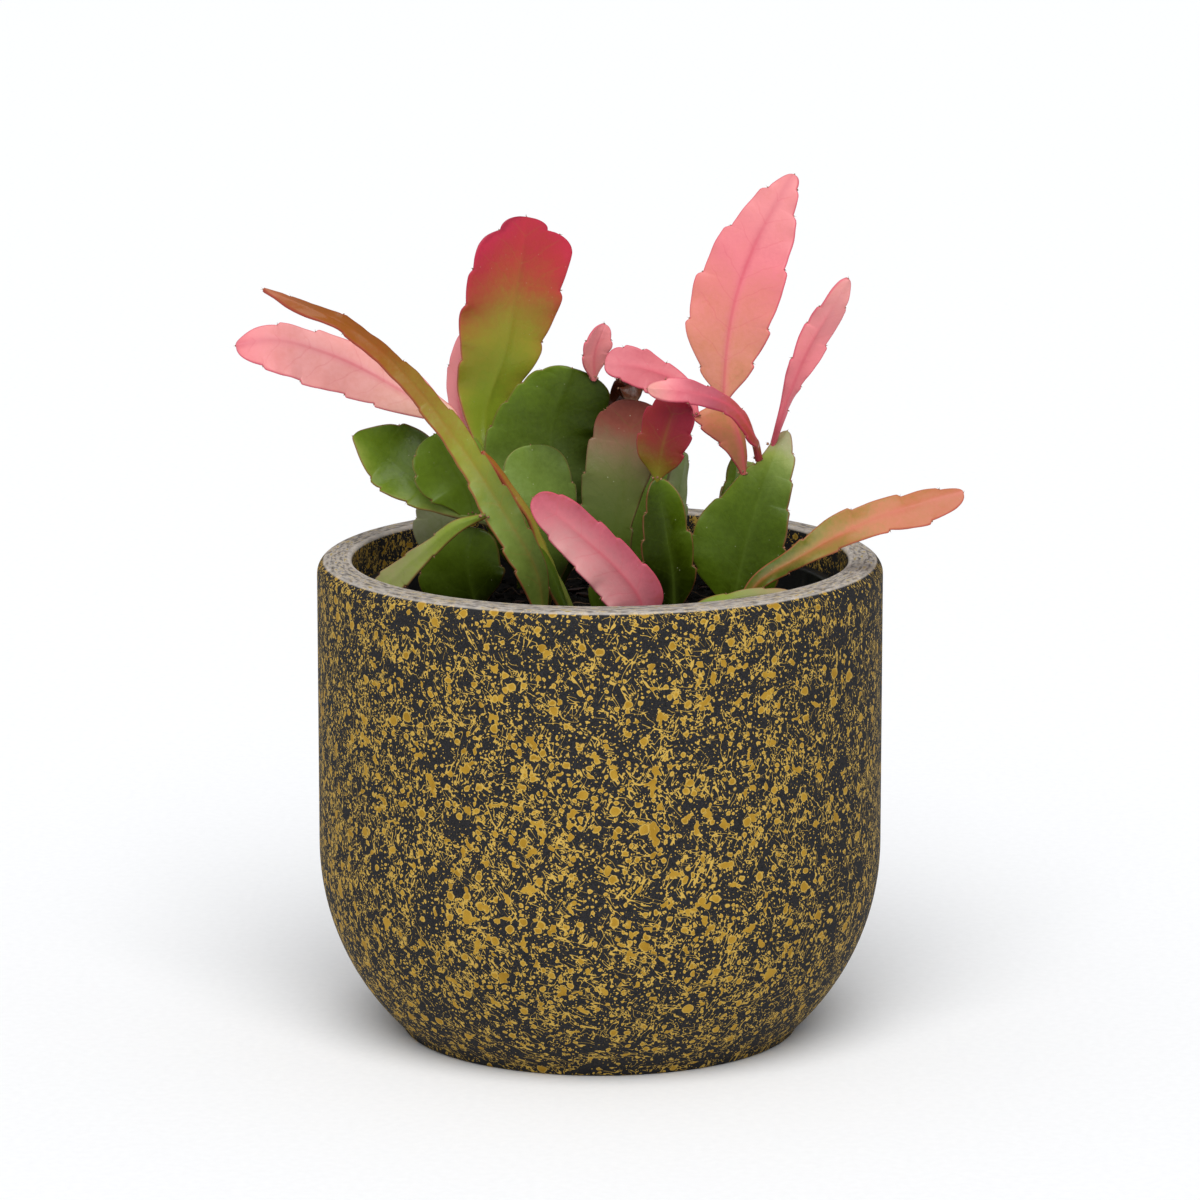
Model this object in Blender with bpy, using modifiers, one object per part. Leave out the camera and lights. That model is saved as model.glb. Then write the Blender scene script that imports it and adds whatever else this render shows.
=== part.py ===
"""Potted rhipsalis: flat-stemmed cactus in a black nursery pot inside a round charcoal planter.

Run with: blender --background --python part.py
Sizes below are in millimetres and are turned to metres when a mesh is made. +Z is up, the
planter stands on Z = 0 about the Z axis, and the plant is looked at along +Y.
"""
import math

import bmesh
import bpy
from mathutils import Vector, noise

MM = 0.001

# Planter, a turned stoneware cachepot
PLANTER_RADIUS = 65.2
PLANTER_HEIGHT = 111.4
PLANTER_WALL = 8.1
PLANTER_FLOOR = 8.0
BOWL_CENTRE_R = 6.7
BOWL_CENTRE_Z = 44.5
BOWL_RADIUS = PLANTER_RADIUS - BOWL_CENTRE_R
RIM_OUTER_ROUND = 3.6
RIM_INNER_ROUND = 1.2
FOOT_ROUND = 1.6

# Nursery pot, thin moulded plastic with a turned-out lip
POT_GAP = 0.3
POT_BASE_Z = PLANTER_FLOOR + POT_GAP
POT_BASE_RADIUS = 39.0
POT_TOP_RADIUS = 54.0
POT_TOP_Z = 103.5
POT_WALL = 1.0
POT_LIP_RADIUS = 55.9
POT_LIP_HEIGHT = 6.0
DRAIN_RADIUS = 4.0
DRAIN_CIRCLE = 24.0
DRAIN_COUNT = 4

# Potting soil, filled in and pressed round the stems
SOIL_GAP = 0.3
SOIL_EDGE_Z = 96.5
SOIL_CROWN = 2.0
SOIL_LUMP = 0.9
HOLE_RADIUS = 2.3
STEM_FOOT_Z = 89.0
STEM_TOP_Z = 99.5
HOLE_FLOOR_Z = STEM_FOOT_Z - 0.3

# Flat stem segments
STEM_HALF_WIDTH = 1.2
RIB_THICKNESS = 2.0
MARGIN_SHARE = 0.45
SEAT_GAP = 0.75
SEAT_RISE = 1.2
SEAT_THICKNESS_SHARE = 0.55
ROWS_A_TOOTH = 3
TOOTH_STAGGER = 1.0 / 3.0


def turned_by(degrees, lift=0.15):
    """A facing turned from the viewer towards +X by an angle, and tipped up by a share."""
    angle = math.radians(degrees)
    return (math.sin(angle), -math.cos(angle), lift)


def clear_scene():
    for thing in list(bpy.data.objects):
        bpy.data.objects.remove(thing, do_unlink=True)


def make_collections():
    """One collection for the object and one, kept out of renders, for the cutters."""
    made = bpy.data.collections.new("potted_rhipsalis")
    tools = bpy.data.collections.new("cutters")
    bpy.context.scene.collection.children.link(made)
    bpy.context.scene.collection.children.link(tools)
    return made, tools


def finish(name, colour, roughness):
    """A Principled material by name, made once and shared."""
    if name in bpy.data.materials:
        return bpy.data.materials[name]
    material = bpy.data.materials.new(name)
    material.use_nodes = True
    shader = material.node_tree.nodes["Principled BSDF"]
    shader.inputs["Base Color"].default_value = (*colour, 1.0)
    shader.inputs["Roughness"].default_value = roughness
    shader.inputs["Metallic"].default_value = 0.0
    material.diffuse_color = (*colour, 1.0)
    return material


def add_mesh_object(name, mesh, material, collection):
    mesh.materials.append(material)
    thing = bpy.data.objects.new(name, mesh)
    collection.objects.link(thing)
    return thing


def arc(centre_r, centre_z, radius, start, end, steps):
    """Points of a profile arc, with angles in degrees from the outward direction."""
    points = []
    for step in range(steps + 1):
        angle = math.radians(start + (end - start) * step / steps)
        points.append((centre_r + radius * math.cos(angle), centre_z + radius * math.sin(angle)))
    return points


def turned(name, profile, steps, material, collection):
    """A body of revolution: an (r, z) profile turned about Z with a Screw modifier."""
    mesh = bpy.data.meshes.new(name)
    model = bmesh.new()
    verts = [model.verts.new((r * MM, 0.0, z * MM)) for r, z in profile]
    for first, second in zip(verts, verts[1:]):
        model.edges.new((first, second))
    model.to_mesh(mesh)
    model.free()
    thing = add_mesh_object(name, mesh, material, collection)
    screw = thing.modifiers.new("turn", "SCREW")
    screw.steps = steps
    screw.render_steps = steps
    screw.use_merge_vertices = True
    screw.merge_threshold = 0.00001
    screw.use_normal_calculate = True
    return thing


def make_planter(collection):
    inner_radius = BOWL_RADIUS - PLANTER_WALL
    foot_angle = math.degrees(math.asin((BOWL_CENTRE_Z - FOOT_ROUND) / BOWL_RADIUS))
    floor_angle = math.degrees(math.asin((BOWL_CENTRE_Z - PLANTER_FLOOR) / inner_radius))
    bowl_end_r = BOWL_CENTRE_R + BOWL_RADIUS * math.cos(math.radians(foot_angle))
    inside_r = PLANTER_RADIUS - PLANTER_WALL
    profile = [(0.0, PLANTER_FLOOR)]
    profile += arc(BOWL_CENTRE_R, BOWL_CENTRE_Z, inner_radius, -floor_angle, 0.0, 5)
    profile += arc(inside_r + RIM_INNER_ROUND, PLANTER_HEIGHT - RIM_INNER_ROUND, RIM_INNER_ROUND,
                   180.0, 90.0, 2)
    profile += arc(PLANTER_RADIUS - RIM_OUTER_ROUND, PLANTER_HEIGHT - RIM_OUTER_ROUND,
                   RIM_OUTER_ROUND, 90.0, 0.0, 4)
    profile += arc(BOWL_CENTRE_R, BOWL_CENTRE_Z, BOWL_RADIUS, 0.0, -foot_angle, 7)
    profile.append((bowl_end_r - FOOT_ROUND, 0.0))
    profile.append((0.0, 0.0))
    clay = finish("charcoal_stoneware", (0.035, 0.035, 0.040), 0.75)
    return turned("planter", profile, 64, clay, collection)


def pot_radius(z):
    """Outside radius of the tapered nursery pot wall at a height."""
    share = (z - POT_BASE_Z) / (POT_TOP_Z - POT_BASE_Z)
    return POT_BASE_RADIUS + (POT_TOP_RADIUS - POT_BASE_RADIUS) * share


def cut(thing, cutters):
    """Take every cutter of a collection out of a solid."""
    boolean = thing.modifiers.new("holes", "BOOLEAN")
    boolean.operation = "DIFFERENCE"
    boolean.operand_type = "COLLECTION"
    boolean.collection = cutters
    boolean.solver = "EXACT"


def peg(name, x, y, low, high, radius, sides, collection):
    """A round cutter standing at (x, y) from one height to another."""
    bpy.ops.mesh.primitive_cylinder_add(
        vertices=sides, radius=radius * MM, depth=(high - low) * MM,
        location=(x * MM, y * MM, (low + high) / 2 * MM))
    cutter = bpy.context.object
    cutter.name = name
    for owner in list(cutter.users_collection):
        owner.objects.unlink(cutter)
    collection.objects.link(cutter)
    cutter.hide_render = True
    cutter.display_type = "WIRE"
    return cutter


def make_nursery_pot(collection, tools):
    lip_under_z = POT_TOP_Z - POT_LIP_HEIGHT
    inner_base = POT_BASE_RADIUS - POT_WALL
    inner_top = POT_TOP_RADIUS - POT_WALL
    profile = [
        (0.0, POT_BASE_Z + POT_WALL),
        (inner_base, POT_BASE_Z + POT_WALL),
        (inner_top, POT_TOP_Z),
        (POT_LIP_RADIUS, POT_TOP_Z),
        (POT_LIP_RADIUS, lip_under_z),
        (pot_radius(lip_under_z), lip_under_z),
        (POT_BASE_RADIUS, POT_BASE_Z),
        (0.0, POT_BASE_Z),
    ]
    plastic = finish("black_plastic", (0.016, 0.016, 0.018), 0.45)
    pot = turned("nursery_pot", profile, 40, plastic, collection)
    drains = bpy.data.collections.new("drain_cutters")
    tools.children.link(drains)
    for number in range(DRAIN_COUNT):
        angle = math.tau * (number + 0.5) / DRAIN_COUNT
        peg(f"drain_cutter_{number + 1}", DRAIN_CIRCLE * math.cos(angle),
            DRAIN_CIRCLE * math.sin(angle), POT_BASE_Z - 2, POT_BASE_Z + POT_WALL + 2,
            DRAIN_RADIUS, 12, drains)
    cut(pot, drains)
    return pot


def make_soil(collection, tools, roots):
    base_z = POT_BASE_Z + POT_WALL + SOIL_GAP
    base_r = POT_BASE_RADIUS - POT_WALL - SOIL_GAP
    slope = (POT_TOP_RADIUS - POT_BASE_RADIUS) / (POT_TOP_Z - POT_BASE_Z)
    edge_r = base_r + slope * (SOIL_EDGE_Z - base_z)
    top = []
    for share in (0.0, 0.25, 0.5, 0.72, 0.88):
        top.append((edge_r * share, SOIL_EDGE_Z + SOIL_CROWN * (1.0 - share ** 2)))
    profile = top + [(edge_r, SOIL_EDGE_Z), (base_r, base_z), (0.0, base_z)]
    peat = finish("peat_soil", (0.030, 0.020, 0.014), 0.95)
    blank = turned("soil_blank", profile, 40, peat, collection)
    graph = bpy.context.evaluated_depsgraph_get()
    mesh = bpy.data.meshes.new_from_object(blank.evaluated_get(graph))
    bpy.data.objects.remove(blank, do_unlink=True)
    for vert in mesh.vertices:
        radius = math.hypot(vert.co.x, vert.co.y) / MM
        if vert.co.z > (SOIL_EDGE_Z - 1) * MM and radius < edge_r - 1:
            vert.co.z += SOIL_LUMP * MM * noise.noise(vert.co * 110.0)
    mesh.name = "potting_soil"
    soil = bpy.data.objects.new("potting_soil", mesh)
    collection.objects.link(soil)
    holes = bpy.data.collections.new("stem_hole_cutters")
    tools.children.link(holes)
    for number, (x, y) in enumerate(roots):
        peg(f"stem_hole_cutter_{number + 1}", x, y, HOLE_FLOOR_Z, STEM_TOP_Z + 6.0,
            HOLE_RADIUS, 10, holes)
    cut(soil, holes)
    return soil


def curve_point(points, share):
    """A smooth curve through the given points, by arc share, with its direction."""
    lengths = [(b - a).length for a, b in zip(points, points[1:])]
    target = share * sum(lengths)
    index = 0
    while index < len(lengths) - 1 and target > lengths[index]:
        target -= lengths[index]
        index += 1
    local = target / lengths[index]
    p1 = points[index]
    p2 = points[index + 1]
    p0 = points[index - 1] if index > 0 else p1 * 2 - p2
    p3 = points[index + 2] if index + 2 < len(points) else p2 * 2 - p1
    before = lengths[index - 1] if index > 0 else lengths[index]
    after = lengths[index + 1] if index + 1 < len(lengths) else lengths[index]
    here = lengths[index]
    m1 = ((p2 - p1) / here + ((p1 - p0) / before - (p2 - p0) / (before + here))) * here
    m2 = ((p2 - p1) / here + ((p3 - p2) / after - (p3 - p1) / (after + here))) * here
    t2 = local * local
    t3 = t2 * local
    place = (p1 * (2 * t3 - 3 * t2 + 1) + m1 * (t3 - 2 * t2 + local)
             + p2 * (3 * t2 - 2 * t3) + m2 * (t3 - t2))
    way = (p1 * (6 * t2 - 6 * local) + m1 * (3 * t2 - 4 * local + 1)
           + p2 * (6 * local - 6 * t2) + m2 * (3 * t2 - 2 * local))
    return place, way.normalized()


def smooth_value(values, share):
    """A smooth reading between evenly spaced values."""
    place = share * (len(values) - 1)
    index = min(int(place), len(values) - 2)
    local = place - index
    v1 = values[index]
    v2 = values[index + 1]
    v0 = values[index - 1] if index > 0 else v1
    v3 = values[index + 2] if index + 2 < len(values) else v2
    m1 = (v2 - v0) / 2
    m2 = (v3 - v1) / 2
    t2 = local * local
    t3 = t2 * local
    return (v1 * (2 * t3 - 3 * t2 + 1) + m1 * (t3 - 2 * t2 + local)
            + v2 * (3 * t2 - 2 * t3) + m2 * (t3 - t2))


def tooth_share(place):
    """How far a crenate margin stands out, from 0 in a notch to 1 on a scallop."""
    return math.sin(math.pi * (place % 1.0)) ** 0.6


def row_shares(teeth, blunt):
    """Places of the cross rows: even along the blade, closer where its tip rounds off."""
    body = teeth * ROWS_A_TOOTH
    shares = [(1.0 - blunt) * row / body for row in range(body + 1)]
    for step in (1, 2, 3):
        shares.append(1.0 - blunt + blunt * math.sin(step * math.pi / 6.0))
    return shares


class Segment:
    """One flat stem segment, kept as rows of five points from its left to its right margin."""

    def __init__(self, points, left, right, look, cup, fold, teeth, depth, blunt, rooted):
        self.rows = []
        self.rib = []
        spine = [Vector(point) for point in points]
        first_look = Vector(look[0])
        last_look = Vector(look[-1])
        if rooted:
            for z in (STEM_FOOT_Z, STEM_TOP_Z - 2.5):
                middle = Vector((spine[0].x, spine[0].y, z))
                self.add_row(middle, Vector((0, 0, 1)), first_look, STEM_HALF_WIDTH,
                             STEM_HALF_WIDTH, 0.0, 0.0, 0.8)
            spine[0] = Vector((spine[0].x, spine[0].y, STEM_TOP_Z))
        for share in row_shares(teeth, blunt):
            place, way = curve_point(spine, share)
            if rooted and share == 0.0:
                way = Vector((0, 0, 1))
            facing = first_look.lerp(last_look, share)
            half_left = smooth_value(left, share)
            half_right = smooth_value(right, share)
            count = teeth / (1.0 - blunt)
            bite_left = depth * (1.0 - tooth_share(share * count))
            bite_right = depth * (1.0 - tooth_share(share * count + TOOTH_STAGGER))
            grown = min(1.0, share * 5.0)
            half_left -= bite_left * grown * min(1.0, half_left / 5.0)
            half_right -= bite_right * grown * min(1.0, half_right / 5.0)
            if share > 1.0 - blunt:
                over = (share - 1.0 + blunt) / blunt
                closing = max(0.3, max(0.0, 1.0 - over ** 2.4) ** 0.4)
                half_left *= closing
                half_right *= closing
            rise = min(1.0, share * 4.0)
            rib = SEAT_THICKNESS_SHARE if share == 0.0 and not rooted else 1.0
            self.add_row(place, way, facing, half_left, half_right, cup * rise, fold * rise, rib)

    def add_row(self, middle, way, facing, half_left, half_right, cup, fold, rib):
        side = way.cross(facing).normalized()
        normal = side.cross(way).normalized()
        row = []
        for step in (-1.0, -0.5, 0.0, 0.5, 1.0):
            half = half_left if step < 0 else half_right
            across = step * half
            lift = cup * across * across / 10.0 + fold * abs(across)
            row.append(middle + side * across + normal * lift)
        self.rows.append(row)
        self.rib.append(rib)
        self.tip_way = way

    def seat(self, share, side):
        """A point on a margin (side -1 or 1) or at the apex (side 0), and its way out.

        The way out of a margin is square to the margin and lies in the blade.
        """
        if side == 0:
            return self.rows[-1][2], self.tip_way
        place = share * (len(self.rows) - 1)
        index = min(int(place), len(self.rows) - 2)
        local = place - index
        column = 0 if side < 0 else 4
        low = self.rows[index][column]
        high = self.rows[index + 1][column]
        edge = low.lerp(high, local)
        middle = self.rows[index][2].lerp(self.rows[index + 1][2], local)
        along = (high - low).normalized()
        out = edge - middle
        return edge, (out - along * out.dot(along)).normalized()


def blade_object(name, segment, material, collection):
    """The mesh of a segment: its rows as a sheet, thickened about the middle."""
    mesh = bpy.data.meshes.new(name)
    model = bmesh.new()
    weights = model.verts.layers.deform.new()
    grid = []
    for row, rib in zip(segment.rows, segment.rib):
        line = []
        for place, edge in zip(row, (MARGIN_SHARE, 0.85, 1.0, 0.85, MARGIN_SHARE)):
            vert = model.verts.new(place * MM)
            vert[weights][0] = rib if rib < 1.0 else edge
            line.append(vert)
        grid.append(line)
    for low, high in zip(grid, grid[1:]):
        for column in range(4):
            model.faces.new((low[column], low[column + 1], high[column + 1], high[column]))
    bmesh.ops.triangulate(model, faces=model.faces[:])
    bmesh.ops.recalc_face_normals(model, faces=model.faces[:])
    model.to_mesh(mesh)
    model.free()
    blade = add_mesh_object(name, mesh, material, collection)
    blade.vertex_groups.new(name="thickness")
    thick = blade.modifiers.new("thickness", "SOLIDIFY")
    thick.thickness = RIB_THICKNESS * MM
    thick.offset = 0.0
    thick.vertex_group = "thickness"
    return blade


GREEN = ("stem_green", (0.100, 0.160, 0.060), 0.45)
LEAF_GREEN = ("stem_leaf_green", (0.190, 0.260, 0.090), 0.42)
PINK = ("stem_pink", (0.760, 0.300, 0.300), 0.42)
CRIMSON = ("stem_crimson", (0.480, 0.060, 0.090), 0.42)
BRONZE = ("stem_bronze", (0.480, 0.250, 0.120), 0.42)
BROWN = ("stem_brown", (0.220, 0.100, 0.060), 0.60)

# Each segment: its finish, where it starts, the points its rib runs through, its half widths
# to the left and right of the rib from foot to tip, and where its face looks at foot and tip.
# It starts either in the soil, as (x, y), or on another segment, as (name, share, side).
SEGMENTS = {
    "round_middle": dict(
        tone=GREEN, start=(-12.5, 2.0),
        points=[(-13.5, 2.0, 112.0), (-14.5, 2.0, 124.0), (-16.0, 4.0, 136.5)],
        left=(1.2, 6.2, 8.8, 9.3, 6.6), right=(1.2, 6.2, 8.8, 9.3, 7.2), look=(turned_by(15),), teeth=3,
        cup=0.12),
    "large_green": dict(
        tone=GREEN, start=(-10.0, 14.0),
        points=[(-10.0, 14.0, 108.0), (-11.0, 14.0, 124.0), (-11.5, 15.0, 138.0), (-6.5, 14.0, 152.8)],
        left=(1.2, 5.0, 9.0, 14.0, 15.7, 11.4, 7.0), right=(1.2, 5.0, 7.0, 7.9, 9.5, 12.0, 12.0),
        look=(turned_by(10),), teeth=5, cup=0.09, blunt=0.11),
    "crimson_tall": dict(
        tone=CRIMSON, start=("large_green", 0.60, -1),
        points=[(-26.9, 16.2, 141.0), (-22.0, 18.8, 157.0), (-19.6, 20.0, 171.0), (-17.0, 22.0, 187.0)],
        left=(0.8, 4.2, 8.2, 11.6, 13.0, 12.9, 11.7, 4.8),
        right=(0.8, 2.2, 4.8, 7.5, 10.3, 11.6, 12.4, 13.0), look=(turned_by(24),), teeth=4, cup=0.06,
        depth=1.7, blunt=0.10),
    "pink_sliver": dict(
        tone=PINK, start=("large_green", 0.43, -1),
        points=[(-29.5, 18.5, 133.0), (-32.8, 23.0, 147.0), (-31.0, 25.5, 160.0)],
        left=(0.7, 2.6, 3.6, 2.6), right=(0.7, 2.6, 3.6, 2.6), look=(turned_by(-30),), teeth=3,
        cup=0.10),
    "left_base": dict(
        tone=GREEN, start=(-28.0, -3.0),
        points=[(-30.0, -3.0, 108.0), (-28.5, -3.0, 118.5)],
        left=(1.2, 10.8, 12.4, 9.2, 5.0), right=(1.2, 7.2, 8.8, 7.2, 4.5), look=(turned_by(-18),),
        teeth=3, cup=0.06),
    "spoon_left": dict(
        tone=LEAF_GREEN, start=("round_middle", 0.50, -1),
        points=[(-26.3, -5.0, 120.2), (-32.0, -6.0, 121.9), (-39.0, -1.5, 125.1), (-47.3, 4.5, 131.6),
                (-56.9, 4.0, 138.6)],
        left=(0.7, 0.9, 1.2, 4.0, 7.2, 6.2, 1.7), right=(0.7, 1.0, 1.8, 7.5, 10.5, 9.0, 3.5),
        look=(turned_by(0, 0.3), turned_by(15, 0.4)), teeth=4, cup=0.20),
    "round_left": dict(
        tone=GREEN, start=("spoon_left", 0.20, 1),
        points=[(-30.5, -5.5, 126.8), (-34.0, -4.5, 132.8), (-38.0, -3.0, 140.3)],
        left=(0.7, 5.6, 9.3, 8.8, 5.6), right=(0.7, 5.6, 8.8, 8.2, 5.6), look=(turned_by(16),), teeth=3,
        cup=0.12),
    "pink_left": dict(
        tone=PINK, start=("round_left", 0.88, 1),
        points=[(-34.0, 1.5, 143.0), (-40.0, 5.0, 145.4), (-47.0, 7.3, 149.2), (-62.5, 6.8, 157.0),
                (-76.8, 3.3, 160.8), (-83.5, 2.0, 160.0)],
        left=(0.7, 2.6, 6.0, 8.0, 9.2, 8.4, 5.2), right=(0.7, 2.6, 5.0, 6.3, 6.4, 5.4, 4.8, 4.3, 2.6),
        look=(turned_by(0, 0.3), turned_by(12, 0.65)), teeth=4, cup=0.10),
    "left_back": dict(
        tone=LEAF_GREEN, start=(-34.5, 18.0),
        points=[(-36.0, 18.0, 110.5), (-37.0, 18.5, 121.0)],
        left=(1.2, 6.2, 8.4, 6.8), right=(1.2, 5.0, 6.8, 5.6), look=(turned_by(-28),), teeth=3,
        cup=0.10),
    "long_arching": dict(
        tone=BRONZE, start=(-13.0, -22.0),
        points=[(-14.5, -22.0, 111.0), (-22.0, -19.0, 124.5), (-34.0, -14.0, 142.0),
                (-54.0, -10.0, 163.5), (-76.5, -8.0, 174.6)],
        left=(1.2, 5.0, 5.0, 3.6, 2.8, 2.6, 2.6, 2.3, 1.4),
        right=(1.2, 3.4, 4.4, 4.2, 4.3, 3.6, 2.9, 2.4, 1.4),
        look=((0.45, -0.9, 0.1), (0.62, -0.6, 0.5)), teeth=7, cup=0.10),
    "pale_low": dict(
        tone=LEAF_GREEN, start=("long_arching", 0.34, -1),
        points=[(-31.7, -21.2, 122.6), (-41.1, -20.5, 114.7), (-50.5, -20.0, 106.3)],
        left=(0.7, 1.7, 2.2, 3.2, 4.2), right=(0.7, 1.7, 2.2, 3.2, 4.2),
        look=(turned_by(-10, 0.3), turned_by(-25, 0.5)), teeth=3, cup=0.10),
    "olive_edge": dict(
        tone=BRONZE, start=(-6.5, -7.0),
        points=[(-12.0, -8.5, 112.0), (-16.5, -8.5, 122.5), (-27.0, -7.0, 137.0)],
        left=(1.2, 1.6, 1.5, 1.3, 1.0), right=(1.2, 1.6, 1.5, 1.3, 1.0), teeth=3, cup=0.10,
        look=((0.7, -0.6, 0.1), (0.8, -0.45, 0.5))),
    "narrow_edge": dict(
        tone=LEAF_GREEN, start=(-7.5, -15.0),
        points=[(-10.0, -14.5, 106.0), (-13.0, -14.0, 112.5), (-18.5, -13.0, 120.0)],
        left=(1.2, 2.4, 2.8, 1.4), right=(1.2, 2.4, 2.8, 1.4), teeth=2, cup=0.10,
        look=((0.7, -0.6, 0.1), (0.8, -0.5, 0.4))),
    "pink_bud": dict(
        tone=PINK, start=("large_green", 0.97, 1),
        points=[(-1.6, 13.0, 155.8), (1.0, 12.5, 163.4)],
        left=(0.7, 2.8, 3.4, 2.0), right=(0.7, 3.0, 3.6, 1.8), look=(turned_by(20),), teeth=2,
        fold=0.35, cup=0.0),
    "withered_tip": dict(
        tone=BROWN, start=("large_green", 0.86, 1),
        points=[(7.0, 11.5, 149.0), (7.5, 8.0, 145.5)],
        left=(0.7, 1.8, 2.2, 1.2), right=(0.7, 1.8, 2.2, 1.2), look=(turned_by(0),), teeth=2, cup=0.9),
    "dusky_middle": dict(
        tone=GREEN, start=(5.5, 0.5),
        points=[(3.5, 1.0, 110.0), (5.0, 1.0, 124.0), (8.5, 4.0, 147.0)],
        left=(1.2, 6.8, 9.4, 9.9, 9.9, 9.4, 7.3), right=(1.2, 4.2, 4.2, 4.7, 6.3, 8.3, 7.3),
        look=(turned_by(-17),), teeth=4, cup=0.10),
    "folded_green": dict(
        tone=LEAF_GREEN, start=(17.0, -9.0),
        points=[(16.5, -9.0, 110.0), (15.0, -9.0, 119.0), (13.0, -8.5, 131.0)],
        left=(1.2, 7.0, 7.5, 6.5, 4.5, 2.5), right=(1.2, 4.5, 5.5, 5.5, 5.0, 3.0), look=(turned_by(6),),
        teeth=3, fold=0.55, cup=0.0),
    "crimson_small": dict(
        tone=CRIMSON, start=("folded_green", 1.0, 0),
        points=[(14.5, -10.0, 139.0), (18.0, -10.5, 150.0)],
        left=(0.7, 5.0, 6.5, 6.5, 4.6), right=(0.7, 4.4, 6.0, 6.0, 4.6),
        look=(turned_by(0), turned_by(-26)), teeth=3, cup=0.15),
    "back_sliver": dict(
        tone=GREEN, start=(16.0, 9.0),
        points=[(16.5, 9.0, 112.0), (17.5, 9.0, 123.0), (19.5, 8.5, 134.0)],
        left=(1.2, 3.6, 4.2, 2.4), right=(1.2, 3.6, 3.2, 2.0), look=(turned_by(35),), teeth=2,
        cup=0.10),
    "right_green": dict(
        tone=LEAF_GREEN, start=(30.5, -6.0),
        points=[(32.0, -6.0, 107.0), (34.0, -5.0, 116.0), (38.0, -3.0, 129.5), (43.0, 0.0, 140.5)],
        left=(1.2, 9.3, 13.0, 12.6, 9.3, 5.8, 3.0, 2.0), right=(1.2, 6.3, 8.4, 9.2, 7.9, 6.9, 5.0, 2.2),
        look=(turned_by(-17),), teeth=4, cup=0.12),
    "right_back": dict(
        tone=GREEN, start=(29.0, 14.0),
        points=[(30.0, 14.0, 112.0), (30.5, 14.0, 123.0), (31.5, 13.0, 133.0)],
        left=(1.2, 3.4, 3.2, 1.0), right=(1.2, 4.6, 5.2, 2.9), look=(turned_by(28),), teeth=2,
        cup=0.10),
    "salmon_short": dict(
        tone=PINK, start=("right_green", 0.70, -1),
        points=[(32.2, -0.7, 137.4), (31.0, -0.4, 141.3), (28.6, 0.6, 147.6)],
        left=(0.7, 2.9, 5.3, 7.9, 9.2), right=(0.7, 1.2, 1.6, 1.8, 2.2), look=(turned_by(14),), teeth=3,
        cup=0.10, blunt=0.10),
    "pink_behind": dict(
        tone=PINK, start=("salmon_short", 0.84, -1),
        points=[(18.6, 1.2, 150.8), (10.2, 1.6, 154.5), (1.0, 1.0, 155.9)],
        left=(0.7, 2.4, 4.6, 5.2, 5.2, 4.0, 3.2), right=(0.7, 1.8, 2.4, 3.4, 4.6, 4.9, 4.0),
        look=(turned_by(0, 0.3), turned_by(-15, 0.6)), teeth=3, cup=0.15),
    "pink_tall": dict(
        tone=PINK, start=("salmon_short", 1.0, 0),
        points=[(29.0, 2.0, 154.5), (31.0, 4.0, 169.0), (35.6, 7.0, 182.0), (44.6, 10.0, 198.4)],
        left=(0.7, 6.0, 9.4, 11.1, 11.1, 10.3, 9.0, 7.1, 5.2, 3.0),
        right=(0.7, 5.6, 8.6, 10.5, 11.0, 10.7, 9.4, 7.6, 4.9, 2.8), look=(turned_by(-23),), teeth=5,
        cup=0.10, depth=1.8),
    "pink_front": dict(
        tone=PINK, start=("right_green", 0.78, -1),
        points=[(35.7, -5.0, 138.0), (34.9, -10.5, 140.5), (29.9, -13.8, 148.0), (21.4, -15.2, 151.7),
                (10.7, -16.5, 153.1)],
        left=(0.7, 1.3, 1.6, 1.9, 2.5, 3.0, 2.2), right=(0.7, 1.3, 1.6, 2.0, 2.7, 3.2, 2.4),
        look=((0.9, -0.5, 0.3), turned_by(-6, 0.5)), teeth=4, cup=0.15),
    "pink_slender": dict(
        tone=PINK, start=("right_green", 0.86, -1),
        points=[(41.2, -4.0, 143.5), (43.6, -6.2, 151.5), (46.9, -8.0, 160.2), (56.2, -12.0, 177.6)],
        left=(0.7, 0.9, 1.3, 2.5, 3.2, 3.2, 2.9, 2.4), right=(0.7, 0.9, 1.5, 2.7, 3.9, 4.3, 3.3, 1.8),
        look=(turned_by(0, 0.2), turned_by(28, 0.1)), teeth=5, cup=0.12),
    "right_reaching": dict(
        tone=BRONZE, start=(31.5, -26.5),
        points=[(34.5, -26.0, 108.6), (45.5, -23.5, 115.7), (61.5, -20.0, 123.2), (82.5, -17.5, 129.4)],
        left=(1.2, 1.9, 2.8, 4.9, 4.4, 3.9, 2.3), right=(1.2, 1.7, 2.4, 3.1, 4.1, 5.5, 4.0),
        look=(turned_by(5, 0.2), turned_by(-12, 0.65)), teeth=5, cup=0.15),
    "low_front": dict(
        tone=LEAF_GREEN, start=(17.5, -37.0),
        points=[(23.0, -36.5, 106.3), (30.0, -36.5, 108.6), (42.9, -33.0, 109.2)],
        left=(1.2, 1.8, 1.9, 1.9, 1.3), right=(1.2, 1.8, 1.9, 1.9, 1.3),
        look=(turned_by(5, 0.2), turned_by(0, 0.8)), teeth=3, cup=0.15),
    "rose_front": dict(
        tone=PINK, start=(10.0, -28.5),
        points=[(8.7, -30.5, 107.4), (3.6, -31.8, 114.6), (-2.3, -33.0, 120.3), (-9.9, -34.0, 127.3),
                (-15.0, -34.5, 131.4)],
        left=(1.2, 6.0, 7.4, 7.0, 6.2, 5.2, 3.8), right=(1.2, 5.6, 5.8, 5.7, 5.6, 5.0, 3.6),
        look=(turned_by(14, 0.1), turned_by(-8, 0.6)), teeth=4, cup=0.12),
    "olive_low": dict(
        tone=GREEN, start=(0.5, -20.5),
        points=[(0.5, -20.5, 108.0), (3.0, -19.5, 115.5)],
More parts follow.
